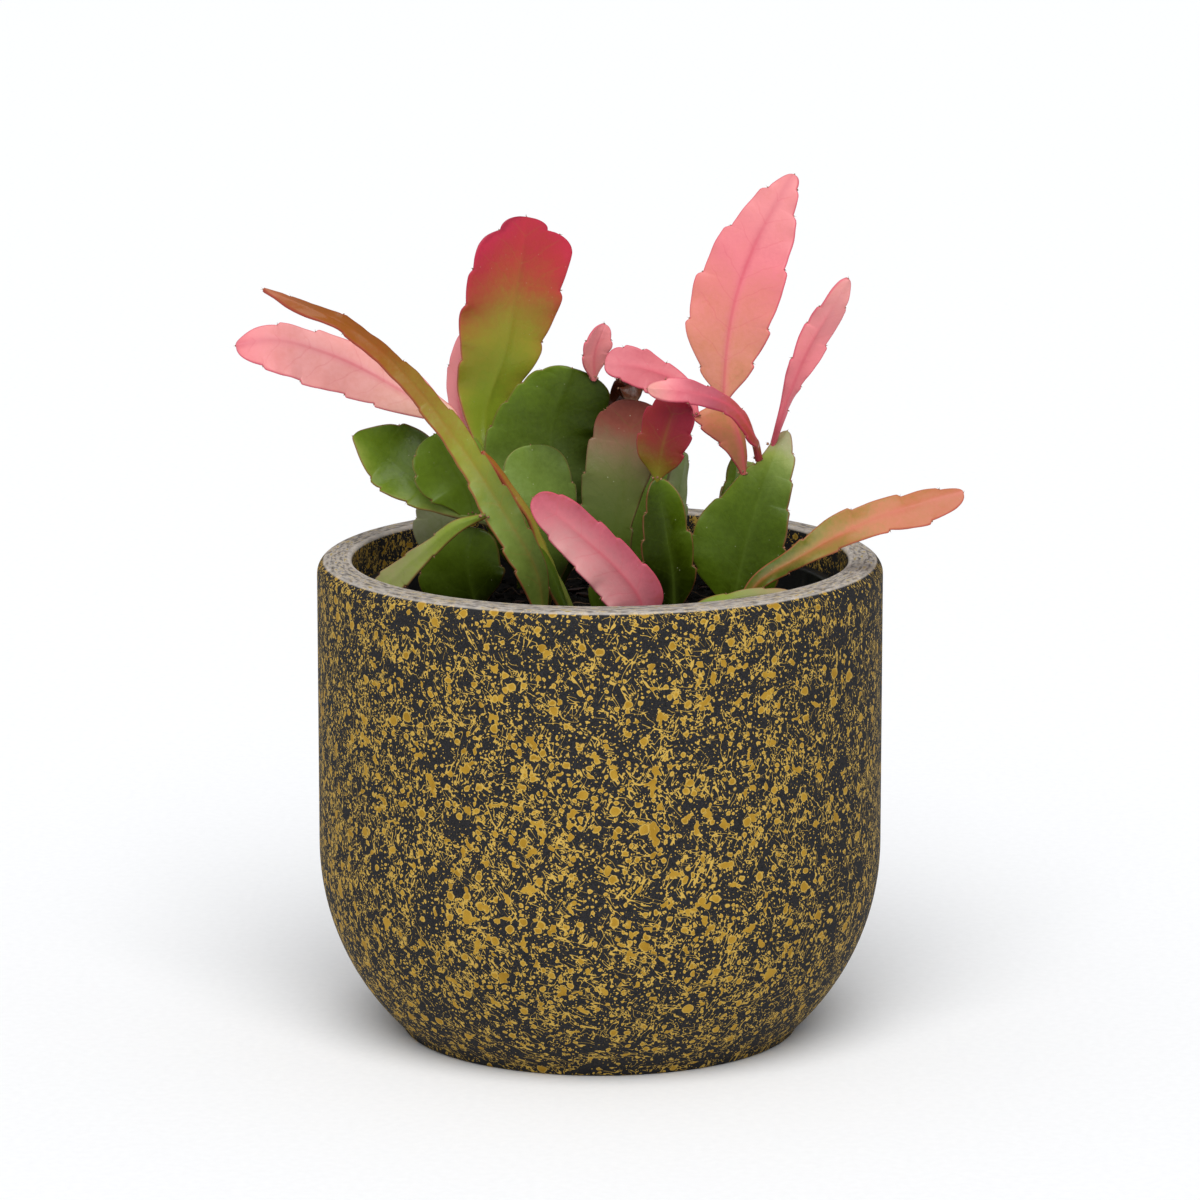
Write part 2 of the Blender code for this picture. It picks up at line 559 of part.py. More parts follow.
        left=(1.2, 3.0, 3.3, 1.8), right=(1.2, 3.0, 3.3, 1.8), look=(turned_by(-38),), teeth=2,
        cup=0.10),
    "back_left_low": dict(
        tone=GREEN, start=(-18.5, 32.0),
        points=[(-19.5, 33.0, 110.0), (-22.0, 34.0, 122.0), (-27.0, 36.0, 134.0)],
        left=(1.2, 6.2, 8.3, 7.8, 4.7), right=(1.2, 6.2, 8.3, 7.8, 4.7), look=(turned_by(-16),),
        teeth=3, cup=-0.10),
    "back_right_low": dict(
        tone=GREEN, start=(12.0, 30.0),
        points=[(12.0, 31.0, 110.0), (10.0, 32.5, 122.0), (7.0, 35.0, 138.0)],
        left=(1.2, 6.6, 9.4, 10.0, 5.5), right=(1.2, 6.6, 9.4, 10.0, 5.5), look=(turned_by(24),),
        teeth=4, cup=-0.10),
    "back_corner_low": dict(
        tone=LEAF_GREEN, start=(31.0, 28.0),
        points=[(32.0, 29.0, 109.0), (34.0, 31.0, 118.0), (36.0, 34.0, 127.0)],
        left=(1.2, 6.5, 8.0, 5.0), right=(1.2, 6.5, 8.0, 5.0), look=(turned_by(42),), teeth=3,
        cup=-0.10),
}


def grow_plant(collection):
    """Make every segment in order, and return where the rooted ones enter the soil."""
    grown = {}
    roots = []
    for name, plan in SEGMENTS.items():
        start = plan["start"]
        rooted = len(start) == 2
        if rooted:
            roots.append(start)
            points = [(start[0], start[1], STEM_TOP_Z)] + plan["points"]
        else:
            parent, share, side = start
            edge, way = grown[parent].seat(share, side)
            foot = edge + way * SEAT_GAP
            lean = (way + (Vector(plan["points"][0]) - foot).normalized()).normalized()
            points = [foot, foot + lean * SEAT_RISE] + plan["points"]
        segment = Segment(points, plan["left"], plan["right"], plan["look"],
                          plan.get("cup", 0.0), plan.get("fold", 0.0), plan["teeth"],
                          plan.get("depth", 1.3), plan.get("blunt", 0.14), rooted)
        grown[name] = segment
        blade_object("stem_" + name, segment, finish(*plan["tone"]), collection)
    return roots


def main():
    clear_scene()
    collection, tools = make_collections()
    make_planter(collection)
    make_nursery_pot(collection, tools)
    roots = grow_plant(collection)
    make_soil(collection, tools, roots)


main()
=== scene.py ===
"""Looks of a potted rhipsalis: its planter, nursery pot, potting soil and flat stem segments.

Sizes are in millimetres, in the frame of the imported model: +Z is up, the planter stands on
Z = 0 about the Z axis, and the plant is looked at along +Y.
"""

import math
import random
from dataclasses import dataclass
from functools import partial

import bmesh
import bpy
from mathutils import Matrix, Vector, noise


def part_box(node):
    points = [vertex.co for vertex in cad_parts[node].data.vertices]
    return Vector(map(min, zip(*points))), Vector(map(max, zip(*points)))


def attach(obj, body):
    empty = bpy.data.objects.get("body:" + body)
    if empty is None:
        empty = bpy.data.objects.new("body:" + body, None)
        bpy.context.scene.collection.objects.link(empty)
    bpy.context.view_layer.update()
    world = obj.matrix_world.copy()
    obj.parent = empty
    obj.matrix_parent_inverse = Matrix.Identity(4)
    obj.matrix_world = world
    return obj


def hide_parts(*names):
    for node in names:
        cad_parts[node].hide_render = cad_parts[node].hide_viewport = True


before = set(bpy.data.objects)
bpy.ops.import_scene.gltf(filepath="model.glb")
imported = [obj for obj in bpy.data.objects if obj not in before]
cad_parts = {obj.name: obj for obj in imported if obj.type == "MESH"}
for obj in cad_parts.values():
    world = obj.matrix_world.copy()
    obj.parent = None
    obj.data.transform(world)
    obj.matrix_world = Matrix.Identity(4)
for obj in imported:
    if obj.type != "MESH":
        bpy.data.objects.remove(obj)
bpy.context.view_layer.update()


# Planter. A thick-walled round cachepot of turned stoneware, about 130 mm across. It is dipped
# in charcoal slip, spattered all over with ochre glaze in drops and threads, and fired matt;
# the flat rim is rubbed back afterwards, so only pale traces of both colours are left on it.
# The rim's pale top is partly that wear and partly painted light where the flat top faces up
# into the light, and each drop of glaze has a painted highlight along its edge.

MM = 0.001
planter_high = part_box("planter")[1] / MM
PLANTER_RADIUS = planter_high.x
PLANTER_HEIGHT = planter_high.z
PLANTER_WALL = 8.1
PLANTER_FLOOR = 8.0
BOWL_CENTRE_R = 6.7
BOWL_CENTRE_Z = 44.5
BOWL_RADIUS = PLANTER_RADIUS - BOWL_CENTRE_R
RIM_OUTER_ROUND = 3.6
RIM_INNER_ROUND = 1.2
FOOT_ROUND = 1.6
ROUND_STEPS = 256
SHARP_ANGLE = math.radians(50)


def arc(centre_r, centre_z, radius, start, end, steps):
    """Points of a profile arc, with angles in degrees from the outward direction."""
    points = []
    for step in range(steps + 1):
        angle = math.radians(start + (end - start) * step / steps)
        points.append((centre_r + radius * math.cos(angle), centre_z + radius * math.sin(angle)))
    return points


def turned_body(profile, steps, swell=None):
    """A body of revolution from an (r, z) profile; swell adds to r at an (angle, r, z)."""
    model = bmesh.new()
    rings = []
    for r, z in profile:
        ring = []
        for step in range(steps if r > 0 else 1):
            angle = math.tau * step / steps
            reach = r + (swell(angle, r, z) if swell else 0.0)
            ring.append(model.verts.new(
                (reach * math.cos(angle) * MM, reach * math.sin(angle) * MM, z * MM)))
        rings.append(ring)
    for low, high in zip(rings, rings[1:]):
        for step in range(steps):
            after = (step + 1) % steps
            corners = (low[step % len(low)], low[after % len(low)],
                       high[after % len(high)], high[step % len(high)])
            model.faces.new(list(dict.fromkeys(corners)))
    return model


def make_piece(name, model, *materials):
    """Turn a model into a smooth-shaded object, with its sharp edges kept."""
    bmesh.ops.recalc_face_normals(model, faces=model.faces[:])
    for face in model.faces:
        face.smooth = True
    for edge in model.edges:
        edge.smooth = edge.calc_face_angle(0.0) < SHARP_ANGLE
    mesh = bpy.data.meshes.new(name)
    model.to_mesh(mesh)
    model.free()
    for material in materials:
        mesh.materials.append(material)
    piece = bpy.data.objects.new(name, mesh)
    bpy.context.scene.collection.objects.link(piece)
    return piece


def paint(code):
    """An sRGB hex colour such as "C8A03C" as linear red, green, blue and alpha."""
    linear = []
    for start in (0, 2, 4):
        share = int(code[start:start + 2], 16) / 255
        linear.append(share / 12.92 if share <= 0.04045 else ((share + 0.055) / 1.055) ** 2.4)
    return (*linear, 1.0)


def set_inputs(node, inputs):
    """Set a node's inputs, each to a value, to a node's output or to a node's first output."""
    for socket, value in inputs.items():
        if isinstance(value, bpy.types.Node):
            value = value.outputs[0]
        if isinstance(value, bpy.types.NodeSocket):
            node.id_data.links.new(value, node.inputs[socket])
        else:
            node.inputs[socket].default_value = value


def add_node(tree, kind, inputs=(), stops=(), **settings):
    """Add a shader node; its inputs are in the order of its sockets, or named in a dict."""
    made = tree.nodes.new("ShaderNode" + kind)
    for setting, value in settings.items():
        setattr(made, setting, value)
    set_inputs(made, inputs if isinstance(inputs, dict) else dict(enumerate(inputs)))
    for number, (position, code) in enumerate(stops):
        ramp = made.color_ramp.elements
        stop = ramp[number] if number < 2 else ramp.new(position)
        stop.position = position
        stop.color = paint(code)
    return made


def new_material(name):
    """An empty material, how to add a node to it, its shader, and the place in millimetres."""
    material = bpy.data.materials.new(name)
    material.use_nodes = True
    add = partial(add_node, material.node_tree)
    place = add("VectorMath", {0: add("TexCoord").outputs["Object"], "Scale": 1 / MM},
                operation="SCALE")
    return material, add, material.node_tree.nodes["Principled BSDF"], place


# The glaze lies in drops of five sizes, in merged patches and in short threads.
# Each drop kind: spacing of its centres in mm, share of them left out, largest radius in spacings.
GLAZE_DROPS = ((3.3, 0.30, 0.38), (2.1, 0.30, 0.40), (1.35, 0.30, 0.38), (0.85, 0.25, 0.36),
               (0.6, 0.30, 0.34))
DROP_EDGE = 0.03
DROP_WARP = 0.6
DROP_WARP_SIZE = 1.8
PATCH_SIZE = 2.6
PATCH_LEVEL = 0.63
PATCH_EDGE = 0.02
PATCH_RISE = 8.0
THREAD_LEAN = (math.radians(35), math.radians(-28), math.radians(75))
THREAD_WIDTH = 0.020
THREAD_SIZE = (1.5, 1.5, 6.0)
THREAD_SPREAD = 5.0
THREAD_LEVEL = (0.53, 0.56)
# Where fewer drops fell: in clouds, near the rim, low down and on the right side.
CLOUD_SIZE = 28.0
CLOUD_SHARE = 0.5
THIN_RIM = (70.0, 108.0)
THIN_RIM_SHARE = 0.16
THIN_FOOT = (24.0, 6.0)
THIN_SIDE = (38.0, 60.0)
THIN_LOW_SHARE = 0.36
THIN_PATCHES = 0.15
# Each drop is painted paler within this far of its edge, a painted highlight along the drop's
# raised edge.
DROP_EDGE_HIGHLIGHT = (0.32, 0.05)
GLAZE_MOTTLE_SIZE = 5.0
GLAZE_HEIGHT = 0.04
SLIP_GRAIN_SIZE = 0.35
SLIP_GRAIN_HEIGHT = 0.35
# The rim is painted pale within a depth of its top, and palest along its two edges: partly
# rubbed-back wear and partly painted light on the top that faces up into the light.
RIM_PALE_DEPTH = 0.9
RIM_PALE_FADE = 0.6
RIM_PALE_UNEVEN = 0.9
RIM_STREAK = (3.2, 0.8)
RIM_WEAR_AND_LIGHT = 0.85
RIM_OUTER_EDGE = (PLANTER_RADIUS - 2.2, PLANTER_RADIUS - 1.6)
RIM_INNER_EDGE = (PLANTER_RADIUS - 6.7, PLANTER_RADIUS - 7.2)
RIM_EDGE_FADE = 0.3
RIM_EDGE_WEAR_AND_LIGHT = 0.5
SMOOTH = {"interpolation_type": "SMOOTHSTEP"}


def make_glazed_stoneware():
    """Charcoal slip, matt and a little grainy, under crisp drops of satin ochre glaze."""
    material, add, shader, place = new_material("glazed_stoneware")
    x, y, z = add("SeparateXYZ", (place,)).outputs

    cloud = add("TexNoise", {"Vector": place, "Scale": 1 / CLOUD_SIZE, "Detail": 1.0})
    cloud = add("Math", (cloud, 0.5), operation="SUBTRACT")
    cloud = add("Math", (cloud, CLOUD_SHARE), operation="MULTIPLY")
    near_rim = add("MapRange", (z, *THIN_RIM), **SMOOTH)
    thinner = add("Math", (near_rim, THIN_RIM_SHARE, cloud), operation="MULTIPLY_ADD")
    low = add("MapRange", (z, *THIN_FOOT), **SMOOTH)
    right = add("MapRange", (x, *THIN_SIDE), **SMOOTH)
    low_or_right = add("Math", (low, right), operation="MAXIMUM")
    thinner = add("Math", (low_or_right, THIN_LOW_SHARE, thinner), operation="MULTIPLY_ADD")

    bend = add("TexNoise", {"Vector": place, "Scale": 1 / DROP_WARP_SIZE, "Detail": 1.0})
    bend = add("VectorMath", (bend.outputs["Color"], (0.5, 0.5, 0.5)), operation="SUBTRACT")
    bent = add("VectorMath", (bend, (2 * DROP_WARP,) * 3, place), operation="MULTIPLY_ADD")
    glaze = 0.0
    depth = -1.0
    for spacing, left_out, largest in GLAZE_DROPS:
        drops = add("TexVoronoi", {"Vector": bent, "Scale": 1 / spacing})
        draw = add("SeparateColor", (drops.outputs["Color"],))
        missing = add("Math", (thinner, left_out), operation="ADD")
        radius = add("MapRange", (draw, missing, 1.0, 0.0, largest))
        inside = add("Math", (radius, drops.outputs["Distance"]), operation="SUBTRACT")
        drop = add("MapRange", (inside, -DROP_EDGE, DROP_EDGE), **SMOOTH)
        glaze = add("Math", (glaze, drop), operation="MAXIMUM")
        inside_mm = add("Math", (inside, spacing), operation="MULTIPLY")
        depth = add("Math", (depth, inside_mm), operation="MAXIMUM")
    patches = add("TexNoise", {"Vector": bent, "Scale": 1 / PATCH_SIZE, "Detail": 1.5})
    patches = add("Math", (thinner, -THIN_PATCHES, patches), operation="MULTIPLY_ADD")
    patch = add("MapRange", (patches, PATCH_LEVEL, PATCH_LEVEL + PATCH_EDGE), **SMOOTH)
    glaze = add("Math", (glaze, patch), operation="MAXIMUM")
    inside = add("Math", (patches, PATCH_LEVEL), operation="SUBTRACT")
    inside_mm = add("Math", (inside, PATCH_RISE), operation="MULTIPLY")
    depth = add("Math", (depth, inside_mm), operation="MAXIMUM")
    for lean in THREAD_LEAN:
        leaned = add("VectorRotate", {"Vector": place, "Angle": lean}, rotation_type="Y_AXIS")
        drawn = add("VectorMath", (leaned, [1 / size for size in THREAD_SIZE]),
                    operation="MULTIPLY")
        lines = add("TexNoise", {"Vector": drawn, "Scale": 1.0, "Detail": 1.0})
        off_line = add("Math", (lines, 0.5), operation="SUBTRACT")
        off_line = add("Math", (off_line,), operation="ABSOLUTE")
        line = add("MapRange", (off_line, THREAD_WIDTH, THREAD_WIDTH * 0.5), **SMOOTH)
        where = add("TexNoise", {"Vector": leaned, "Scale": 1 / THREAD_SPREAD, "Detail": 1.0})
        where = add("MapRange", (where, *THREAD_LEVEL), **SMOOTH)
        thread = add("Math", (line, where), operation="MULTIPLY")
        glaze = add("Math", (glaze, thread), operation="MAXIMUM")

    flat = add("CombineXYZ", (x, y, 0.0))
    radius = add("VectorMath", (flat,), operation="LENGTH").outputs["Value"]
    angle = add("Math", (y, x), operation="ARCTAN2")
    round_rim = add("CombineXYZ", (
        add("Math", (angle, PLANTER_RADIUS / RIM_STREAK[0]), operation="MULTIPLY"),
        add("Math", (radius, RIM_STREAK[1]), operation="DIVIDE")))
    rim_streaks = add("TexNoise", {"Vector": round_rim, "Scale": 1.0, "Detail": 5.0})
    # Pale rim top: streaked traces of the rubbed-back wear, lightened as painted light on the
    # up-facing top.
    rim_wear_and_light_colour = add("ValToRGB", (rim_streaks,), (
        (0.32, "625C57"), (0.45, "938C85"), (0.56, "BCB4AB"), (0.68, "A89150")))
    pale_from = PLANTER_HEIGHT - RIM_PALE_DEPTH
    level = add("Math", (z, RIM_PALE_UNEVEN / 2), operation="SUBTRACT")
    level = add("Math", (patches, RIM_PALE_UNEVEN, level), operation="MULTIPLY_ADD")
    worn_and_lit = add("MapRange", (level, pale_from, pale_from + RIM_PALE_FADE), **SMOOTH)
    worn_and_lit = add("Math", (worn_and_lit, RIM_WEAR_AND_LIGHT), operation="MULTIPLY")
    # The rim's two top edges are painted palest, partly wear and partly painted light.
    outer_edge = add("MapRange", (radius, *RIM_OUTER_EDGE), **SMOOTH)
    inner_edge = add("MapRange", (radius, *RIM_INNER_EDGE), **SMOOTH)
    edges = add("Math", (outer_edge, inner_edge), operation="MAXIMUM")
    on_top = add("MapRange", (z, pale_from, pale_from + RIM_EDGE_FADE), **SMOOTH)
    edges = add("Math", (edges, on_top), operation="MULTIPLY")
    edges = add("Math", (edges, RIM_EDGE_WEAR_AND_LIGHT), operation="MULTIPLY")

    mottle = add("TexNoise", {"Vector": place, "Scale": 1 / GLAZE_MOTTLE_SIZE, "Detail": 3.0})
    grain = add("TexNoise", {"Vector": place, "Scale": 1 / SLIP_GRAIN_SIZE, "Detail": 2.0})
    slip = add("ValToRGB", (grain,), ((0.30, "191919"), (0.70, "2E2D2F")))
    ochre = add("ValToRGB", (mottle,), ((0.30, "936F1E"), (0.50, "A37D27"), (0.70, "AE8930")))
    # Painted highlight: the ochre turns paler along the edge of each drop.
    drop_edge_highlight = add("MapRange", (depth, *DROP_EDGE_HIGHLIGHT), **SMOOTH)
    ochre = add("Mix", {0: drop_edge_highlight, 6: ochre, 7: paint("C09E4A")}, data_type="RGBA")
    colour = slip
    for share, over in ((glaze, ochre.outputs[2]), (worn_and_lit, rim_wear_and_light_colour), (edges, paint("CFC6BC"))):
        colour = add("Mix", {0: share, 6: colour, 7: over}, data_type="RGBA").outputs[2]
    grit = add("Math", (grain, SLIP_GRAIN_HEIGHT), operation="MULTIPLY")
    height = add("Math", (glaze, 1.0, grit), operation="MULTIPLY_ADD")
    set_inputs(shader, {
        "Base Color": colour,
        "Roughness": add("Math", (glaze, -0.12, 0.80), operation="MULTIPLY_ADD"),
        "Normal": add("Bump", {"Height": height, "Distance": GLAZE_HEIGHT * MM}),
        "Specular IOR Level": 0.12})
    return material


def make_planter():
    inner_radius = BOWL_RADIUS - PLANTER_WALL
    foot_angle = math.degrees(math.asin((BOWL_CENTRE_Z - FOOT_ROUND) / BOWL_RADIUS))
    floor_angle = math.degrees(math.asin((BOWL_CENTRE_Z - PLANTER_FLOOR) / inner_radius))
    bowl_end_r = BOWL_CENTRE_R + BOWL_RADIUS * math.cos(math.radians(foot_angle))
    inside_r = PLANTER_RADIUS - PLANTER_WALL
    profile = [(0.0, PLANTER_FLOOR)]
    profile += arc(BOWL_CENTRE_R, BOWL_CENTRE_Z, inner_radius, -floor_angle, 0.0, 20)
    profile += arc(inside_r + RIM_INNER_ROUND, PLANTER_HEIGHT - RIM_INNER_ROUND, RIM_INNER_ROUND,
                   180.0, 90.0, 5)
    profile += arc(PLANTER_RADIUS - RIM_OUTER_ROUND, PLANTER_HEIGHT - RIM_OUTER_ROUND,
                   RIM_OUTER_ROUND, 90.0, 0.0, 9)
    profile += arc(BOWL_CENTRE_R, BOWL_CENTRE_Z, BOWL_RADIUS, 0.0, -foot_angle, 30)
    profile += arc(bowl_end_r - FOOT_ROUND, FOOT_ROUND, FOOT_ROUND, -30.0, -90.0, 3)[1:]
    profile.append((0.0, 0.0))
    return make_piece("planter_body", turned_body(profile, ROUND_STEPS), make_glazed_stoneware())


planter = make_planter()
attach(planter, "root")
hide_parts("planter")


# Nursery pot. The thin black polypropylene pot that the plant was sold in, injection moulded
# with a turned-out lip, shallow flutes and four drain holes. It drops loosely into the planter.

POT_BASE_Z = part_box("nursery_pot")[0].z / MM
POT_TOP_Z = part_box("nursery_pot")[1].z / MM
POT_LIP_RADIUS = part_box("nursery_pot")[1].x / MM
POT_BASE_RADIUS = 39.0
POT_TOP_RADIUS = 54.0
POT_WALL = 1.0
POT_LIP_HEIGHT = 6.0
POT_FLUTES = 24
FLUTE_DEPTH = 0.3
DRAIN_RADIUS = 4.0
DRAIN_CIRCLE = 24.0
DRAIN_COUNT = 4


def make_black_polypropylene():
    """Satin black plastic, faintly scuffed, with soil dust dried on where it was watered."""
    material, add, shader, place = new_material("black_polypropylene")
    scuff = add("TexNoise", {"Vector": place, "Scale": 1 / 3.0, "Detail": 4.0})
    moulded = add("TexNoise", {"Vector": place, "Scale": 1 / 0.5, "Detail": 1.0})
    set_inputs(shader, {
        "Base Color": add("ValToRGB", (scuff,), (
            (0.40, "0B0B0C"), (0.62, "131313"), (0.75, "2A2520"))),
        "Roughness": add("MapRange", {"Value": scuff, "To Min": 0.30, "To Max": 0.62}),
        "Normal": add("Bump", {"Height": moulded, "Distance": 0.02 * MM}),
        "Specular IOR Level": 0.3})
    return material


def pot_radius(z):
    """Outside radius of the tapered pot wall at a height."""
    share = (z - POT_BASE_Z) / (POT_TOP_Z - POT_BASE_Z)
    return POT_BASE_RADIUS + (POT_TOP_RADIUS - POT_BASE_RADIUS) * share


def pot_flute(angle, r, z):
    """Shallow flutes, pressed inwards on the outside of the wall below the lip."""
    on_wall = abs(r - pot_radius(z)) < 0.1 and POT_BASE_Z + 5 < z < POT_TOP_Z - POT_LIP_HEIGHT - 3
    return -FLUTE_DEPTH * math.cos(angle * POT_FLUTES / 2) ** 8 if on_wall else 0.0


def make_nursery_pot():
    under_lip = POT_TOP_Z - POT_LIP_HEIGHT
    inner_base = POT_BASE_RADIUS - POT_WALL
    inner_top = POT_TOP_RADIUS - POT_WALL
    profile = [(0.0, POT_BASE_Z + POT_WALL), (inner_base - 1.0, POT_BASE_Z + POT_WALL),
               (inner_base, POT_BASE_Z + POT_WALL + 1.0), (inner_top - 0.4, POT_TOP_Z - 2.0)]
    profile += arc(inner_top + 0.6, POT_TOP_Z - 0.6, 0.6, 180.0, 90.0, 4)
    profile += arc(POT_LIP_RADIUS - 0.5, POT_TOP_Z - 0.5, 0.5, 90.0, 0.0, 4)
    profile += [(POT_LIP_RADIUS, under_lip), (pot_radius(under_lip) + 0.3, under_lip)]
    for step in range(11):
        z = under_lip - 1.0 + (POT_BASE_Z + 2.0 - under_lip) * step / 10
        profile.append((pot_radius(z), z))
    profile += [(POT_BASE_RADIUS - 0.6, POT_BASE_Z), (0.0, POT_BASE_Z)]
    plastic = make_black_polypropylene()
    pot = make_piece("nursery_pot_shell", turned_body(profile, ROUND_STEPS, pot_flute), plastic)
    drains = bmesh.new()
    for number in range(DRAIN_COUNT):
        angle = math.tau * (number + 0.5) / DRAIN_COUNT
        made = bmesh.ops.create_cone(
            drains, cap_ends=True, segments=24, radius1=DRAIN_RADIUS * MM,
            radius2=DRAIN_RADIUS * MM, depth=6 * MM)
        bmesh.ops.translate(drains, verts=made["verts"], vec=Vector(
            (DRAIN_CIRCLE * math.cos(angle), DRAIN_CIRCLE * math.sin(angle), POT_BASE_Z)) * MM)
    cutter = make_piece("drain_cutter", drains)
    boolean = pot.modifiers.new("drains", "BOOLEAN")
    boolean.object = cutter
    boolean.operation = "DIFFERENCE"
    boolean.solver = "EXACT"
    cut_mesh = bpy.data.meshes.new_from_object(
        pot.evaluated_get(bpy.context.evaluated_depsgraph_get()))
    pot.modifiers.clear()
    pot.data = cut_mesh
    bpy.data.objects.remove(cutter, do_unlink=True)
    return pot


nursery_pot = make_nursery_pot()
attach(nursery_pot, "root")
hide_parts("nursery_pot")


# Potting soil. Dark moist peat, filled in by hand to a finger below the lip, with crumbs,
# chips of reddish bark and fine root fibres on top. The stems come up through small hollows.
# Peat, bark and fibre are coloured darker than their own, as painted shade inside the pot.

SOIL_BASE_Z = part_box("potting_soil")[0].z / MM
SOIL_EDGE_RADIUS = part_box("potting_soil")[1].x / MM
SOIL_BASE_RADIUS = POT_BASE_RADIUS - POT_WALL - 0.3
SOIL_EDGE_Z = 96.5
SOIL_CROWN = 2.0
SOIL_RINGS = 80
STEM_FOOT_Z = 89.0
STEM_TOP_Z = 99.5
HOLLOW_RADIUS = 2.6
HOLLOW_DEPTH = 3.0
SOIL_LUMPS = ((9.0, 1.3), (3.2, 0.9), (1.2, 0.5))
CRUMB_COUNT = 620
CRUMB_SIZES = (0.35, 1.5)
CRUMB_SHAPE = (1.0, 0.9, 0.75)
CHIP_COUNT = 90
CHIP_SIZES = (0.9, 2.2)
CHIP_SHAPE = (1.5, 0.7, 0.3)
CHIP_LIFT = 0.3
FIBRE_COUNT = 70
FIBRE_POINTS = 7
FIBRE_STEP = 1.1
FIBRE_LIFT = 0.25
FIBRE_ARCH = 0.5
ROOTS = (
    (-12.5, 2.0), (-10.0, 14.0), (-28.0, -3.0), (-34.5, 18.0), (-13.0, -22.0), (-6.5, -7.0),
    (-7.5, -15.0), (5.5, 0.5), (17.0, -9.0), (16.0, 9.0), (30.5, -6.0), (29.0, 14.0),
    (31.5, -26.5), (17.5, -37.0), (10.0, -28.5), (0.5, -20.5), (-18.5, 32.0), (12.0, 30.0),
    (31.0, 28.0),
)


def soil_height(x, y):
    """Height of the soil: crowned, lumpy, and sunk a little round each stem."""
    radius = math.hypot(x, y)
    height = SOIL_EDGE_Z + SOIL_CROWN * (1.0 - (radius / SOIL_EDGE_RADIUS) ** 2)
    for size, lump in SOIL_LUMPS:
        height += lump * noise.noise(Vector((x / size, y / size, size)))
    away = min(math.hypot(x - rx, y - ry) for rx, ry in ROOTS)
    return height - HOLLOW_DEPTH * max(0.0, 1.0 - (away / HOLLOW_RADIUS) ** 2)


def add_crumb(model, place, size, squash, draw, finish):
    """A rough lump: a small sphere with its points pushed in and out at random."""
    made = bmesh.ops.create_icosphere(model, subdivisions=1, radius=1.0)["verts"]
    turn = draw.uniform(0, math.tau)
    for vert in made:
        rough = draw.uniform(0.75, 1.2)
        x, y, z = vert.co * rough
        x, y, z = x * size * squash[0], y * size * squash[1], z * size * squash[2]
        vert.co = (Vector((x * math.cos(turn) - y * math.sin(turn),
                           x * math.sin(turn) + y * math.cos(turn), z)) + place) * MM
    for face in {face for vert in made for face in vert.link_faces}:
        face.material_index = finish


def add_fibre(model, x, y, draw, finish):
    """A fine bent root fibre lying on the soil."""
    heading = draw.uniform(0, math.tau)
    radius = draw.uniform(0.10, 0.2)
    rings = []
    for step in range(FIBRE_POINTS):
        arch = FIBRE_ARCH * math.sin(step * math.pi / (FIBRE_POINTS - 1))
        low = Vector((x, y, soil_height(x, y) + FIBRE_LIFT + arch))
        side = Vector((-math.sin(heading), math.cos(heading), 0.0))
        corners = (side * radius, Vector((0, 0, radius)), -side * radius)
        rings.append([model.verts.new((low + corner) * MM) for corner in corners])
        heading += draw.uniform(-0.5, 0.5)
        x += FIBRE_STEP * math.cos(heading)
        y += FIBRE_STEP * math.sin(heading)
    faces = [model.faces.new(rings[0]), model.faces.new(rings[-1])]
    for low, high in zip(rings, rings[1:]):
        for corner in range(3):
            after = (corner + 1) % 3
            faces.append(model.faces.new((low[corner], low[after], high[after], high[corner])))
    for face in faces:
        face.material_index = finish


def make_peat():
    """Moist peat, darkened further as painted shade inside the pot: nearly black, dull, with
    browner and drier crumbs.
    """
    material, add, shader, place = new_material("moist_peat_painted_shade")
    crumbs = add("TexNoise", {"Vector": place, "Scale": 1 / 1.6, "Detail": 5.0})
    set_inputs(shader, {
        # Painted shade: the peat colours are darkened far past the peat's own, for the shade
        # inside the pot.
        "Base Color": add("ValToRGB", (crumbs,), (
            (0.32, "040302"), (0.52, "0A0705"), (0.66, "16100B"), (0.78, "2C1F17"))),
        "Roughness": 0.92,
        "Normal": add("Bump", {"Height": crumbs, "Distance": 0.4 * MM}),
        "Specular IOR Level": 0.1})
    return material


def make_fibrous(name, dark, light, grain):
    """Dry plant matter, dull and uneven in tone: bark chips, root fibre or areole wool."""
    material, add, shader, place = new_material(name)
    streaks = add("TexNoise", {"Vector": place, "Scale": 1 / grain, "Detail": 3.0})
    set_inputs(shader, {
        "Base Color": add("ValToRGB", (streaks,), ((0.35, dark), (0.68, light))),
        "Roughness": 0.8,
        "Normal": add("Bump", {"Height": streaks, "Distance": 0.15 * MM}),
        "Specular IOR Level": 0.2})
    return material


